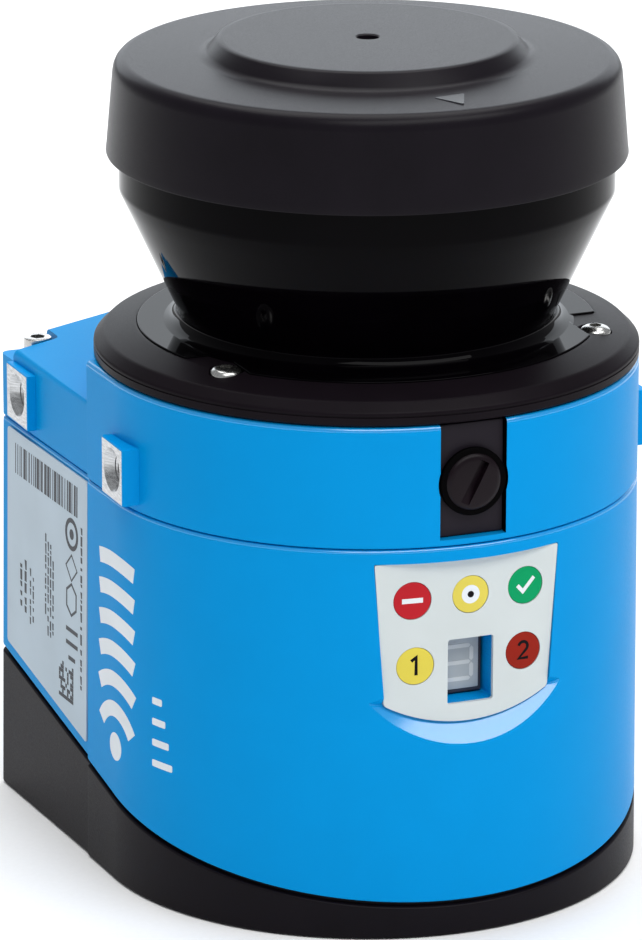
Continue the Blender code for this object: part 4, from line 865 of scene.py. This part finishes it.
def build_upper_housing():
    """Blue casing above the seam: drum, rear deck, pads, screw pockets and port recess."""
    bottom = SEAM_Z + SEAM_GAP
    rows = [housing_row(inset, bottom + drop) for inset, drop in reversed(fillet(0.35, 3))]
    rows += [housing_row(inset, DRUM_TOP - drop) for inset, drop in fillet(0.8, 5)]
    shell = skin(rows)
    carve(shell, [deck_clearance()])
    round_deck_edges(shell)
    cavity = skin([housing_row(WALL, height, HOLLOW_FRONT_Y) for height in (60.0, 80.5)])
    drum_plan = [(x, max(y, HOLLOW_FRONT_Y)) for x, y in arc_points(0.0, 0.0, 44.0, 0.0, 357.5, 143)]
    hollow = [cavity, prism(drum_plan, 78.0, 90.0), rod(33.0, (0, 0, 85.0), (0, 0, 100.0), 128)]
    groove = lathe([(35.6, 100.0), (38.0, 100.0), (38.0, 92.9), (35.6, 92.9)], 128)
    carve(shell, hollow + [groove])
    pads = []
    for side in (-1, 1):
        for y_span in PAD_SPANS:
            pads.append(soften(block(sorted((side * 42.0, side * PAD_X)), y_span, PAD_Z), 0.25))
    carve(shell, pads + rods(BOSS_RADIUS, DECK_SCREWS.values(), SEAM_Z + 0.7, 82.0), "UNION")
    cutters = []
    for side in (-1, 1):
        corners = [(side * POCKET_X, BEYOND_Y, 0.0), (side * POCKET_X, POCKET_Y, 1.2),
                   (side * BEYOND_X, POCKET_Y, 0.0), (side * BEYOND_X, BEYOND_Y, 0.0)]
        cutters.append(prism(rounded(corners), POCKET_FLOOR, 110.0))
        cutters += [thread_cutter(side, sum(y_span) / 2) for y_span in PAD_SPANS]
    cutters += rods(DECK_SCREW_TAP, DECK_SCREWS.values(), 70.0, 90.0)
    cutters += rods(COVER_SCREW_BORE, COVER_SCREWS.values(), 85.0, 100.0)
    port = PORT_HIGH.x + PORT_GAP
    cutters.append(prism(rectangle((-port, port), (-60.0, -45.9)), PORT_LOW.z - PORT_GAP, 110.0))
    cutters.append(rod(PLUG_RADIUS + PLUG_GAP, (0, -60.0, PLUG_Z), (0, -47.0, PLUG_Z), 96))
    cutters.append(rod(5.9, (0, -50.0, PLUG_Z), (0, BEHIND_Y, PLUG_Z), 64))
    carve(shell, cutters)
    finish_piece(shell, "upper_casing", [BLUE, BARE_METAL, PAINTED_SHADE_BLACK, BLUE_SMOOTH],
                 ["upper_housing"])

    def bare_painted_shade_or_smooth(centre, normal):
        """Bare metal on the pads, painted shade on the port recess walls, smooth ledge and drum edge."""
        out = abs(centre.x)
        if centre.y < FRONT_Y and abs(centre.z - PORT_LOW.z + PORT_GAP) < 0.1 and normal.z > 0.9:
            return 3
        if centre.z > DRUM_TOP - 0.85 and on_fillet(normal):
            return 3
        in_recess = centre.y < FRONT_Y and out < PLUG_RADIUS + 0.5 and centre.z > PORT_LOW.z - 0.1
        from_plug = math.hypot(centre.x, centre.z - PLUG_Z)
        round_plug = abs(from_plug - PLUG_RADIUS - PLUG_GAP) < 0.1 and abs(normal.y) < 0.3
        # Painted shade: the port recess walls and the ring round the plug take the near-black material.
        if in_recess and (abs(normal.x) > 0.9 or round_plug):
            return 2
        from_hole = min(math.hypot(centre.y - sum(y_span) / 2, centre.z - PAD_HOLE_Z)
                        for y_span in PAD_SPANS)
        in_hole = out > max(PAD_X - PAD_DEPTH - 0.5, PAD_INNER_X) and from_hole < PAD_SINK + 0.05
        return 1 if out > PAD_X - 0.03 or in_hole else 0

    repaint(shell, bare_painted_shade_or_smooth)


# ---- ring, window, cap

def flange_outline(radius, gap):
    """Plan of the flange: a disc with rounded square notches round its three screws."""
    notch_x, notch_y = NOTCH_X - gap, NOTCH_Y + gap
    rear_half, rear_y = REAR_NOTCH_HALF + gap, REAR_NOTCH_Y - gap
    front = math.degrees(math.asin(notch_x / radius))
    side = math.degrees(math.asin(notch_y / radius))
    rear = math.degrees(math.acos(rear_half / radius))

    def arc(start, end):
        points = arc_points(0.0, 0.0, radius, start + NOTCH_EASE, end - NOTCH_EASE, 60)
        return [(x, y, 0.0) for x, y in points]

    def tip(degrees):
        return (*polar(radius, degrees), 0.9)

    right = [tip(270.0 + front), (notch_x, notch_y, 2.2), tip(side)] + arc(side, rear)
    right += [tip(rear), (rear_half, rear_y, 1.6)]
    return rounded(arc(270.0 - front, 270.0 + front) + right + [(-x, y, r) for x, y, r in reversed(right)])


def inset_outline(points, distance):
    """Move a counter-clockwise outline inwards."""
    moved = []
    count = len(points)
    for index, (x, y) in enumerate(points):
        here = Vector((x, y))
        ahead = Vector(points[(index + 1) % count])
        shift = mitre(here - Vector(points[index - 1]), ahead - here, distance, 0.4)
        moved.append((x + shift.x, y + shift.y))
    return moved


def build_ring():
    """Black ring with a machined groove, a bevelled shoulder and seats for the screws."""
    profile = [(31.6, 99.95), (41.5, 100.0), (41.9, 99.97), (46.9, 98.66), (47.25, 98.5), (47.5, 98.27),
               (48.75, 97.05), (48.95, 96.8), (49.0, 96.5), (49.0, 96.28), (48.8, 96.22), (48.8, 96.02),
               (49.0, 95.95), (49.0, 94.75), (48.75, 94.5), (31.6, 94.5)]
    ring = lathe(profile, LARGE_ROUND)
    cutters = [prism(flange_outline(FLANGE_RADIUS + FLANGE_SEAT, -FLANGE_SEAT), 98.2, 105.0)]
    seat = [(0, 105.0), (3.3, 105.0), (3.3, 99.95), (3.05, 99.7), (3.05, 98.4), (0, 98.4)]
    for place in COVER_SCREWS.values():
        cutters.append(lathe(seat, SMALL_ROUND, at(*place)))
        cutters += rods(COVER_SCREW_BORE, [place], 90.0, 99.0)
    carve(ring, cutters)
    finish_piece(ring, "lens_carrier_ring", [RING_BLACK], ["carrier_ring"])


def build_window():
    """Glossy window: notched flange, filleted neck, cone and upright band."""
    outline = flange_outline(FLANGE_RADIUS, 0.0)
    rows = [[(x, y, 98.3) for x, y in outline]]
    for inset, drop in fillet(0.22, 3):
        rows.append([(x, y, FLANGE_TOP - drop) for x, y in inset_outline(outline, inset)])
    window = skin(rows)
    top = WINDOW_TOP
    profile = [(0, top), (44.05, top), (CONE_RADIUS, top - 0.25), (CONE_RADIUS, 125.6), (CONE_RADIUS, 124.9),
               (42.84, 121.77), (40.0, 115.68), (36.5, 108.17), (34.55, 104.0), (34.1, 103.0),
               (33.95, 102.45), (34.05, 101.95), (34.35, 101.4), (34.9, 100.85), (35.6, 100.5),
               (36.4, 100.32), (37.2, 100.1), (37.2, 99.0), (0, 99.0)]
    carve(window, [lathe(profile, LARGE_ROUND)], "UNION")
    inside = [(0, top + 5.0), (41.9, top + 5.0), (41.9, 125.5), (31.3, 102.8), (31.9, 98.3), (31.9, 95.0),
              (0, 95.0)]
    carve(window, [lathe(inside)])
    finish_piece(window, "dark_window", [WINDOW_BLACK], ["optics_window"])


def build_cap():
    """Black cap: raised plateau, soft shoulder, leaning skirt and a small centre dimple."""
    top = CAP_HIGH.z
    dimple = [(0.0, top - 1.1), (1.6, top - 1.1), (2.0, top - 0.9), (2.0, top - 0.25), (2.3, top)]
    plateau = [(25.6, top), (26.3, top - 0.06), (26.9, top - 0.3), (28.4, 149.75), (28.9, 149.32),
               (29.5, 149.05), (30.4, 148.93), (42.8, 148.66)]
    shoulder = [(43.6, 148.5), (44.3, 148.12), (44.8, 147.55), (45.12, 146.8), (45.3, 145.8)]
    skirt = [(46.4, 132.9), (CAP_RADIUS, 131.7), (CAP_RADIUS - 0.1, 131.45), (CAP_RADIUS - 0.4, CAP_LOW.z)]
    inside = [(44.75, CAP_LOW.z), (44.6, 131.6), (44.6, 134.4), (42.2, 134.4), (42.2, 145.4), (26.4, 146.0),
              (25.0, 149.4), (0.0, 149.4)]
    cap = lathe(dimple + plateau + shoulder + skirt + inside, 224)
    finish_piece(cap, "scanner_cap", [CAP_BLACK], ["top_cap"], degrees=40.0)
    mark = prism(rounded([(-1.9, -34.4, 0.25), (1.1, -40.5, 0.25), (4.1, -33.6, 0.25)]), 148.6, 148.93)
    finish_piece(mark, "cap_direction_mark", [CAP_MARK])


def build_screws():
    """Pan heads on the ring, socket heads on the deck and pan heads underneath."""
    pan = [(0, 100.7), (0.9, 100.68), (1.7, 100.55), (2.3, 100.28), (2.65, 99.9), (2.8, 99.4), (2.8, 98.7),
           (1.5, 98.7), (1.5, 88.0), (0, 88.0)]
    socket = [(0, 87.3), (2.3, 87.3), (2.5, 87.22), (2.6, 87.0), (2.6, 84.4), (2.5, 84.3), (1.25, 84.3),
              (1.25, 60.0), (0, 60.0)]
    under = [(0, -0.3), (2.4, -0.3), (3.0, -0.42), (3.4, -0.8), (3.5, -1.2), (3.5, -1.9), (2.0, -1.9),
             (2.0, -15.0), (0, -15.0)]
    upright, upside_down = Matrix.Identity(4), Matrix.Rotation(math.pi, 4, "X")
    groups = (("ring_screw_", "cover_screw_", COVER_SCREWS, pan, upright, 1.2, 99.4),
              ("corner_screw_", "deck_screw_", DECK_SCREWS, socket, upright, 1.45, 85.6),
              ("under_screw_", "base_screw_", BASE_SCREWS, under, upside_down, 1.3, -1.4))
    for piece, node, places, profile, pose, recess, low in groups:
        for name, place in places.items():
            pose_here = at(*place[:2]) @ pose
            screw = lathe(profile, SMALL_ROUND, pose_here)
            hexagon = [(0, low + 10.0), (recess, low + 10.0), (recess, low), (0, low - 0.3)]
            carve(screw, [lathe(hexagon, 6, pose_here)])
            finish_piece(screw, piece + name, [STEEL], [node + name])


# ---- panel, display, port

def hug_panel(obj, x, z):
    """Bend a flat piece made round (x, z) onto the panel's curve."""
    here = panel_face_y(x, z)
    for vertex in obj.data.vertices:
        vertex.co.y += (panel_face_y(vertex.co.x / MM, vertex.co.z / MM) - here) * MM
    return obj


def build_panel():
    """Curved overlay with lamp holes and the display opening."""
    panel = carve(panel_stock(0.0, 0.0, PANEL_THICKNESS), front_cutters(LAMP_RADIUS + 0.08, 96))
    finish_piece(panel, "indicator_panel", [PANEL_GREY], ["status_panel"])


def build_lamps():
    """Lens discs that follow the panel, each with its light guide."""
    for name, place in LAMPS.items():
        face = -panel_face_y(place.x, place.z)
        profile = [(0, face - 0.02), (1.2, face - 0.02), (2.4, face - 0.025), (3.3, face - 0.04),
                   (LAMP_RADIUS, face - 0.12), (LAMP_RADIUS, face - PANEL_THICKNESS),
                   (LAMP_ROD_RADIUS, face - PANEL_THICKNESS), (LAMP_ROD_RADIUS, 39.4), (0, 39.4)]
        lens = hug_panel(lathe(profile, 96, facing_front(place.x, place.z)), place.x, place.z)
        finish_piece(lens, "lens_" + name, [LAMP_MATERIALS[name]], ["lamp_" + name])


def strip(points, width):
    """Outline of a bent stroke of even width through a few points."""
    left = []
    right = []
    for index, point in enumerate(points):
        here = Vector(point)
        before = here - Vector(points[index - 1]) if index else Vector(points[1]) - here
        after = Vector(points[index + 1]) - here if index + 1 < len(points) else before
        shift = mitre(before, after, width / 2, 0.5)
        left.append((here.x + shift.x, here.y + shift.y))
        right.append((here.x - shift.x, here.y - shift.y))
    return left + right[::-1]


def circle(x, y, radius, steps=24):
    """Outline of a circle."""
    return arc_points(x, y, radius, 0.0, 360.0 * (steps - 1) / steps, steps - 1)


def merge(objects):
    """Join several small meshes into the first one."""
    with reshaped(objects[0]) as bm:
        for obj in objects[1:]:
            bm.from_mesh(obj.data)
            bpy.data.objects.remove(obj)
    return objects[0]


def lamp_mark(name, shapes, material, lift=0.03):
    """Raised print on a lens; shapes are (x, z) outlines round the lens centre."""
    place = LAMPS[name.replace("_dot", "")]
    face = panel_face_y(place.x, place.z)
    pieces = []
    for shape in shapes:
        outline = [(place.x + x, place.z + z) for x, z in shape]
        pieces.append(hug_panel(upright_prism(outline, face - lift + 0.02, face + 0.1), place.x, place.z))
    finish_piece(merge(pieces), "mark_" + name, [material])


def build_marks():
    """Plain pictograms and channel digits in place of the printed legends."""
    lamp_mark("stop", [rectangle((-1.9, 1.9), (-0.45, 0.45))], PRINT_WHITE)
    lamp_mark("warning", [circle(0.0, 0.0, 1.7, 40)], PRINT_WHITE)
    lamp_mark("warning_dot", [circle(0.0, 0.0, 0.6, 24)], PRINT_BLACK, 0.05)
    lamp_mark("ok", [strip([(-1.6, 0.1), (-0.5, -1.1), (1.7, 1.3)], 0.7)], PRINT_WHITE)
    one = [strip([(-0.75, 0.95), (0.15, 1.6), (0.15, -1.7)], 0.6)]
    lamp_mark("output_1", one, PRINT_BLACK)
    curve = arc_points(0.0, 0.75, 0.9, 165.0, -35.0, 10)
    two = [strip(curve + [(-0.85, -1.4), (1.05, -1.4)], 0.55)]
    lamp_mark("output_2", two, PRINT_BLACK)


def build_display():
    """Single-digit display: case with a rim and seven raised segments."""
    case = soften(block((DISPLAY_LOW.x, DISPLAY_HIGH.x), (DISPLAY_LOW.y, DISPLAY_HIGH.y),
                        (DISPLAY_LOW.z, DISPLAY_HIGH.z)), 0.3)
    finish_piece(case, "digit_case", [CASE_GREY], ["display_module"])
    face = DISPLAY_LOW.y - FACE_LIFT
    plate = rectangle((DISPLAY_LOW.x + 0.15, FACE_RIGHT), (FACE_BOTTOM, DISPLAY_HIGH.z - 0.15), 0.2)
    finish_piece(upright_prism(plate, face, DISPLAY_LOW.y + 0.2), "digit_face", [DISPLAY_GREY])
    half = SEGMENT_WIDTH / 2

    def segment(start, end, across):
        """Pointed bar along one axis; across is its place on the other."""
        start, end = start + SEGMENT_GAP, end - SEGMENT_GAP
        return [(start, across), (start + half, across - half), (end - half, across - half),
                (end, across), (end - half, across + half), (start + half, across + half)]

    left, right = DIGIT_X - DIGIT_HALF, DIGIT_X + DIGIT_HALF
    low, high = DIGIT_Z
    middle = (low + high) / 2
    shapes = [segment(left, right, z) for z in (low, middle, high)]
    for x in (left, right):
        for start, end in ((low, middle), (middle, high)):
            shapes.append([(across, along) for along, across in segment(start, end, x)])
    segments = merge([upright_prism(shape, face - 0.06, face + 0.2) for shape in shapes])
    finish_piece(segments, "digit_segments", [SEGMENT_GREY])


def build_port():
    """Dark strip with a round seat, and the slotted plug that screws out of it."""
    plate = block((PORT_LOW.x, PORT_HIGH.x), (PORT_LOW.y, PORT_HIGH.y), (PORT_LOW.z, PORT_HIGH.z))
    soften(plate, 0.3)
    carve(plate, [rod(4.3, (0, -50.0, PLUG_Z), (0, -40.0, PLUG_Z), 64)])
    finish_piece(plate, "port_strip", [PLATE_GREY], ["port_plate"])
    face = -PLUG_LOW.y
    profile = [(0, face), (2.4, face - 0.03), (4.0, face - 0.1), (4.6, face - 0.24), (4.95, face - 0.48),
               (PLUG_HEAD_RADIUS, face - 0.7), (PLUG_HEAD_RADIUS, 48.7), (5.95, 48.66), (PLUG_RADIUS, 48.5),
               (PLUG_RADIUS, 47.9), (5.8, 47.9), (5.8, 48.45), (PLUG_THREAD[0], 48.45)]
    profile += thread(PLUG_THREAD, 48.0, 43.0, -1.0, (0.0, -0.3, -0.4, -0.7))
    profile += [(3.7, -PLUG_HIGH.y), (2.9, 42.4), (2.9, 47.0), (0, 47.0)]
    plug = lathe(profile, 96, facing_front(0.0, PLUG_Z))
    slot = prism([(4.1, -60.0), (4.1, -49.25), (0.6, -48.1), (-4.1, -48.1), (-4.1, -60.0)], -0.85, 0.85)
    turn = Matrix.Rotation(math.radians(PLUG_SLOT_TURN + 90.0), 4, "Y")
    slot.data.transform(at(0.0, 0.0, PLUG_Z) @ turn)
    carve(plug, [slot])
    finish_piece(plug, "service_plug", [PLUG_BLACK, PAINTED_SHADE_BLACK], ["plug_cap"], body="plug")
    # Painted shade: the flange round the plug head takes the near-black material so the groove reads dark.
    repaint(plug, lambda centre, _: int(math.hypot(centre.x, centre.z - PLUG_Z) > PLUG_HEAD_RADIUS + 0.02))


# ---- sockets

def build_sockets():
    """Rear connector insert with gold pins, and the round service socket behind the plug."""
    half_x, low, high = SOCKET_HIGH.x, SOCKET_LOW.z, SOCKET_HIGH.z
    body = lying_prism(rectangle((-half_x, half_x), (low, high), 1.0), -SOCKET_HIGH.y, -SOCKET_LOW.y)
    soften(body, 0.2)
    wall = 1.5
    mouth = rectangle((-half_x + wall, half_x - wall), (low + wall, high - wall), 1.2)
    carve(body, [lying_prism(mouth, -60.0, -42.0)])
    finish_piece(body, "rear_socket", [SOCKET_BLACK], ["system_socket"])
    profile = [(0, -47.5), (0.25, -47.5), (0.45, -47.0), (0.45, -41.9), (0, -41.9)]
    pins = [lathe(profile, PIN_ROUND, facing_front(PIN_LEFT + PIN_PITCH * column, z))
            for z in PIN_ROWS_Z for column in range(8)]
    finish_piece(merge(pins), "rear_socket_pins", [GOLD])
    profile = [(0, 38.0), (SOCKET_THREAD[0], 38.0)]
    profile += thread(SOCKET_THREAD, 38.4, 44.8, 1.0, (0.0, 0.3, 0.4, 0.7))
    profile += [(4.3, 45.4), (4.5, 45.6), (5.4, 45.6), (5.6, 45.4), (5.6, 34.0), (0, 34.0)]
    body = lathe(profile, SMALL_ROUND, facing_front(0.0, PLUG_Z))
    finish_piece(body, "service_socket", [BRASS], ["config_socket"])
    profile = [(0, 41.0), (0.25, 41.0), (0.4, 40.6), (0.4, 37.9), (0, 37.9)]
    pins = [lathe(profile, PIN_ROUND, facing_front(x, PLUG_Z + z)) for x in (-1.3, 1.3) for z in (-1.3, 1.3)]
    finish_piece(merge(pins), "service_socket_pins", [GOLD])


# ---- label and side graphic

def lifted(outline, lift):
    """A (y, z) outline laid on the left side wall, off it by a lift."""
    return [(-side_wall_x(y, z) - lift, y, z) for y, z in outline]


def on_wall(outline, low, high):
    """Thin plate on the left side wall between two lifts."""
    return skin([lifted(outline, lift) for lift in (high, low)])


def build_label():
    """Foil label with its plain printed shapes."""
    label = on_wall(rounded(LABEL_CORNERS), *LABEL_LIFT)
    finish_piece(label, "side_label", [LABEL_SILVER], ["rating_label"])
    draw = random.Random(7)
    shapes = []
    y = BARCODE_Y[0]
    while y < BARCODE_Y[1]:
        width = draw.choice((0.3, 0.3, 0.5, 0.8, 1.1))
        shapes.append(rectangle((y, y + width), BARCODE_Z))
        y += width + draw.choice((0.35, 0.45, 0.8))
    for column in range(CODE_SIDE):
        for row in range(CODE_SIDE):
            if column == 0 or row == 0 or draw.random() < 0.5:
                left, low = CODE_CORNER[0] + CODE_PITCH * column, CODE_CORNER[1] + CODE_PITCH * row
                shapes.append(rectangle((left, left + CODE_CELL), (low, low + CODE_CELL)))
    columns = ((15.4, 0.8, 30.7, 60.8), (29.1, 0.6, 37.0, 52.0), (30.3, 0.6, 36.2, 54.0),
               (31.5, 0.6, 36.2, 55.0), (32.7, 0.6, 40.0, 55.0), (38.8, 0.6, 36.5, 45.0),
               (40.2, 0.6, 35.8, 45.3), (42.4, 1.0, 37.3, 46.4), (44.6, 1.0, 38.0, 46.0))
    for y, width, z, end in columns:
        while z < end:
            length = draw.uniform(0.5, 2.1)
            shapes.append([(y, z), (y + width * draw.uniform(0.55, 1.0), z), (y + width, z + length),
                           (y, z + length)])
            z += length + draw.choice((0.3, 0.35, 0.9))
    shapes += [strip([(left, z), (right, z)], 0.8)
               for left, right, z in ((17.4, 23.0, 38.0), (17.4, 23.0, 40.6), (18.6, 21.8, 35.2))]
    shapes.append(circle(ICON_Y, RING_ICON_Z, 1.0))
    pieces = [on_wall(shape, *PRINT_LIFT) for shape in shapes]
    hexagon = [(ICON_Y + 2.9 * math.sin(math.radians(60 * k)), 46.5 + 3.3 * math.cos(math.radians(60 * k)))
               for k in range(6)]
    diamond = [(ICON_Y, 49.9), (23.4, 52.6), (ICON_Y, 55.3), (17.6, 52.6)]
    low, high = PRINT_LIFT
    for outer, inner in ((circle(ICON_Y, RING_ICON_Z, 3.1), circle(ICON_Y, RING_ICON_Z, 2.2)),
                         (hexagon, inset_outline(hexagon[::-1], 0.5)[::-1]),
                         (diamond, inset_outline(diamond, 0.35))):
        rings = [lifted(outer, low), lifted(outer, high), lifted(inner, high), lifted(inner, low)]
        pieces.append(skin(rings, closed=True))
    finish_piece(merge(pieces), "side_label_print", [LABEL_INK])


GRAPHIC_LIFT = 0.05
GRAPHIC_DEPTH = 0.3


def on_drum(outline):
    """Wrap an (along, z) outline round the front from the left tangent line, slightly raised."""
    flat = upright_prism(outline, -GRAPHIC_LIFT, GRAPHIC_DEPTH)
    places = [x for x, _ in outline]
    with reshaped(flat) as bm:
        cut_at = math.ceil(min(places))
        while cut_at < max(places):
            whole = bm.verts[:] + bm.edges[:] + bm.faces[:]
            bmesh.ops.bisect_plane(bm, geom=whole, dist=1e-7, plane_co=(cut_at * MM, 0, 0),
                                   plane_no=(1, 0, 0))
            cut_at += 1.0
        for vertex in bm.verts:
            along, out, z = vertex.co.x / MM, -vertex.co.y / MM, vertex.co.z / MM
            if along > 0:
                turn = math.pi + along / FRONT_RADIUS
                x, y = (FRONT_RADIUS + out) * math.cos(turn), (FRONT_RADIUS + out) * math.sin(turn)
            else:
                x, y = -(FRONT_RADIUS + out - 0.025 * along), -along
            vertex.co = Vector(lean(x, y, z)) * MM
    return flat


def build_side_graphic():
    """White scan arcs and short bars where the casing carries its printed decoration."""
    shapes = [circle(ARCS_Y, 25.6, 2.6, 40)]
    for index in range(6):
        radius = 8.0 + ARC_PITCH * index
        half = math.degrees(math.asin(min(7.4 / radius, 0.82)))
        shapes.append(strip(arc_points(ARCS_Y, 24.6, radius, 90.0 + half, 90.0 - half, 24), 2.9))
    for index in range(4):
        z = 26.0 + BAR_PITCH * index
        shapes.append(rectangle((BARS_LEFT, 20.3 - 0.9 * index), (z, z + 1.3), 0.3))
    finish_piece(merge([on_drum(shape) for shape in shapes]), "side_graphic", [PRINT_WHITE])


# ---- carried-over nodes

def dress_nodes():
    """Give every CAD node that stays a finished material."""
    green = circuit_board("circuit_board")
    copper = winding("stator_winding")
    glass = lens_glass("coated_glass")
    groups = (
        (RUBBER, ("_gasket", "_seal")), (green, ("_board",)), (BRASS, ("board_standoff", "laser_module")),
        (STEEL, ("_bearing_", "photodiode", "motor_rotor", "rotor_shaft", "encoder_disc")),
        (ALUMINIUM, ("optics_block", "motor_bracket", "mirror_carrier")), (copper, ("motor_stator",)),
        (glass, ("receiver_lens", "collimator_lens")), (MIRROR, ("scan_mirror",)),
        (SOCKET_BLACK, ("encoder_sensor",)), (FLEX, ("motor_flex",)),
    )
    for name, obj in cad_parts.items():
        for material, marks in groups:
            if any(mark in name for mark in marks):
                for holder in obj.material_slots:
                    holder.material = material


# ---- studio

CAMERA_PLACE = (-433.6, -1038.7, 421.3)
CAMERA_AIM = (-7.49, 3.10, 71.46)
CAMERA_ROLL = 0.002         # radians
FOCAL_LENGTH = 249.7
SURROUND_COLOUR = (0.95, 0.97, 1.0, 1.0)
SURROUND_STRENGTH = 0.36
FLOOR_Z = -0.2
FLOOR_HALF_METRES = 6.0
OBJECT_MIDDLE = (0.0, 0.0, 0.08)
SOFTBOXES = (               # name, place, target and size in metres, watts, colour
    ("overhead", (0.1, 0.45, 1.6), (0.0, 0.2, 0.0), (1.6, 1.4), 25.0, (1.0, 1.0, 1.0)),
    ("front_softbox", (0.15, -0.95, 1.28), OBJECT_MIDDLE, (1.9, 0.7), 19.5, (1.0, 1.0, 1.0)),
    ("back_softbox", (0.6, 1.5, 0.6), OBJECT_MIDDLE, (2.2, 0.9), 10.5, (0.88, 0.94, 1.0)),
)


def add_softbox(name, place, target, size, power, colour):
    """Soft area light aimed at a point and hidden from the camera; sizes in metres."""
    data = bpy.data.lights.new(name, "AREA")
    data.shape = "RECTANGLE"
    data.size, data.size_y = size
    data.energy = power
    data.color = colour
    light = bpy.data.objects.new(name, data)
    light.location = place
    light.rotation_euler = (Vector(target) - Vector(place)).to_track_quat("-Z", "Y").to_euler()
    light.visible_camera = False
    SCENE.collection.objects.link(light)


def build_studio():
    """Pale floor, even surround, three softboxes and the camera."""
    world = bpy.data.worlds.new("studio_world")
    world.use_nodes = True
    set_inputs(world.node_tree.nodes["Background"], {"Color": SURROUND_COLOUR, "Strength": SURROUND_STRENGTH})
    SCENE.world = world
    floor_material, tree, shader = new_material("floor_paper", (0.86, 0.86, 0.86), 0.85, specular=0.1)
    speckle = noise(tree, coordinates(tree), 900.0, 2.0)
    tree.links.new(tint(tree, speckle, (0.85, 0.85, 0.85), (0.87, 0.87, 0.87)), shader.inputs["Base Color"])
    bm = bmesh.new()
    bmesh.ops.create_grid(bm, x_segments=2, y_segments=2, size=FLOOR_HALF_METRES)
    floor = make_object("studio_floor", bm)
    floor.location.z = FLOOR_Z * MM
    floor.data.materials.append(floor_material)
    for softbox in SOFTBOXES:
        add_softbox(*softbox)
    camera_data = bpy.data.cameras.new("camera")
    camera_data.lens = FOCAL_LENGTH
    camera_data.sensor_width = 36.0
    camera_data.clip_start = 0.05
    camera_data.clip_end = 30.0
    camera = bpy.data.objects.new("camera", camera_data)
    camera.location = Vector(CAMERA_PLACE) * MM
    aim = Vector(CAMERA_AIM) * MM - camera.location
    turn = aim.to_track_quat("-Z", "Y").to_matrix().to_4x4()
    camera.matrix_world = Matrix.Translation(camera.location) @ turn @ Matrix.Rotation(CAMERA_ROLL, 4, "Z")
    SCENE.collection.objects.link(camera)
    SCENE.camera = camera
    SCENE.view_settings.view_transform = "Standard"


for build in (build_studio, build_base, build_lower_housing, build_upper_housing, build_ring, build_window,
              build_cap, build_screws, build_panel, build_lamps, build_marks, build_display, build_port,
              build_sockets, build_label, build_side_graphic, dress_nodes):
    build()
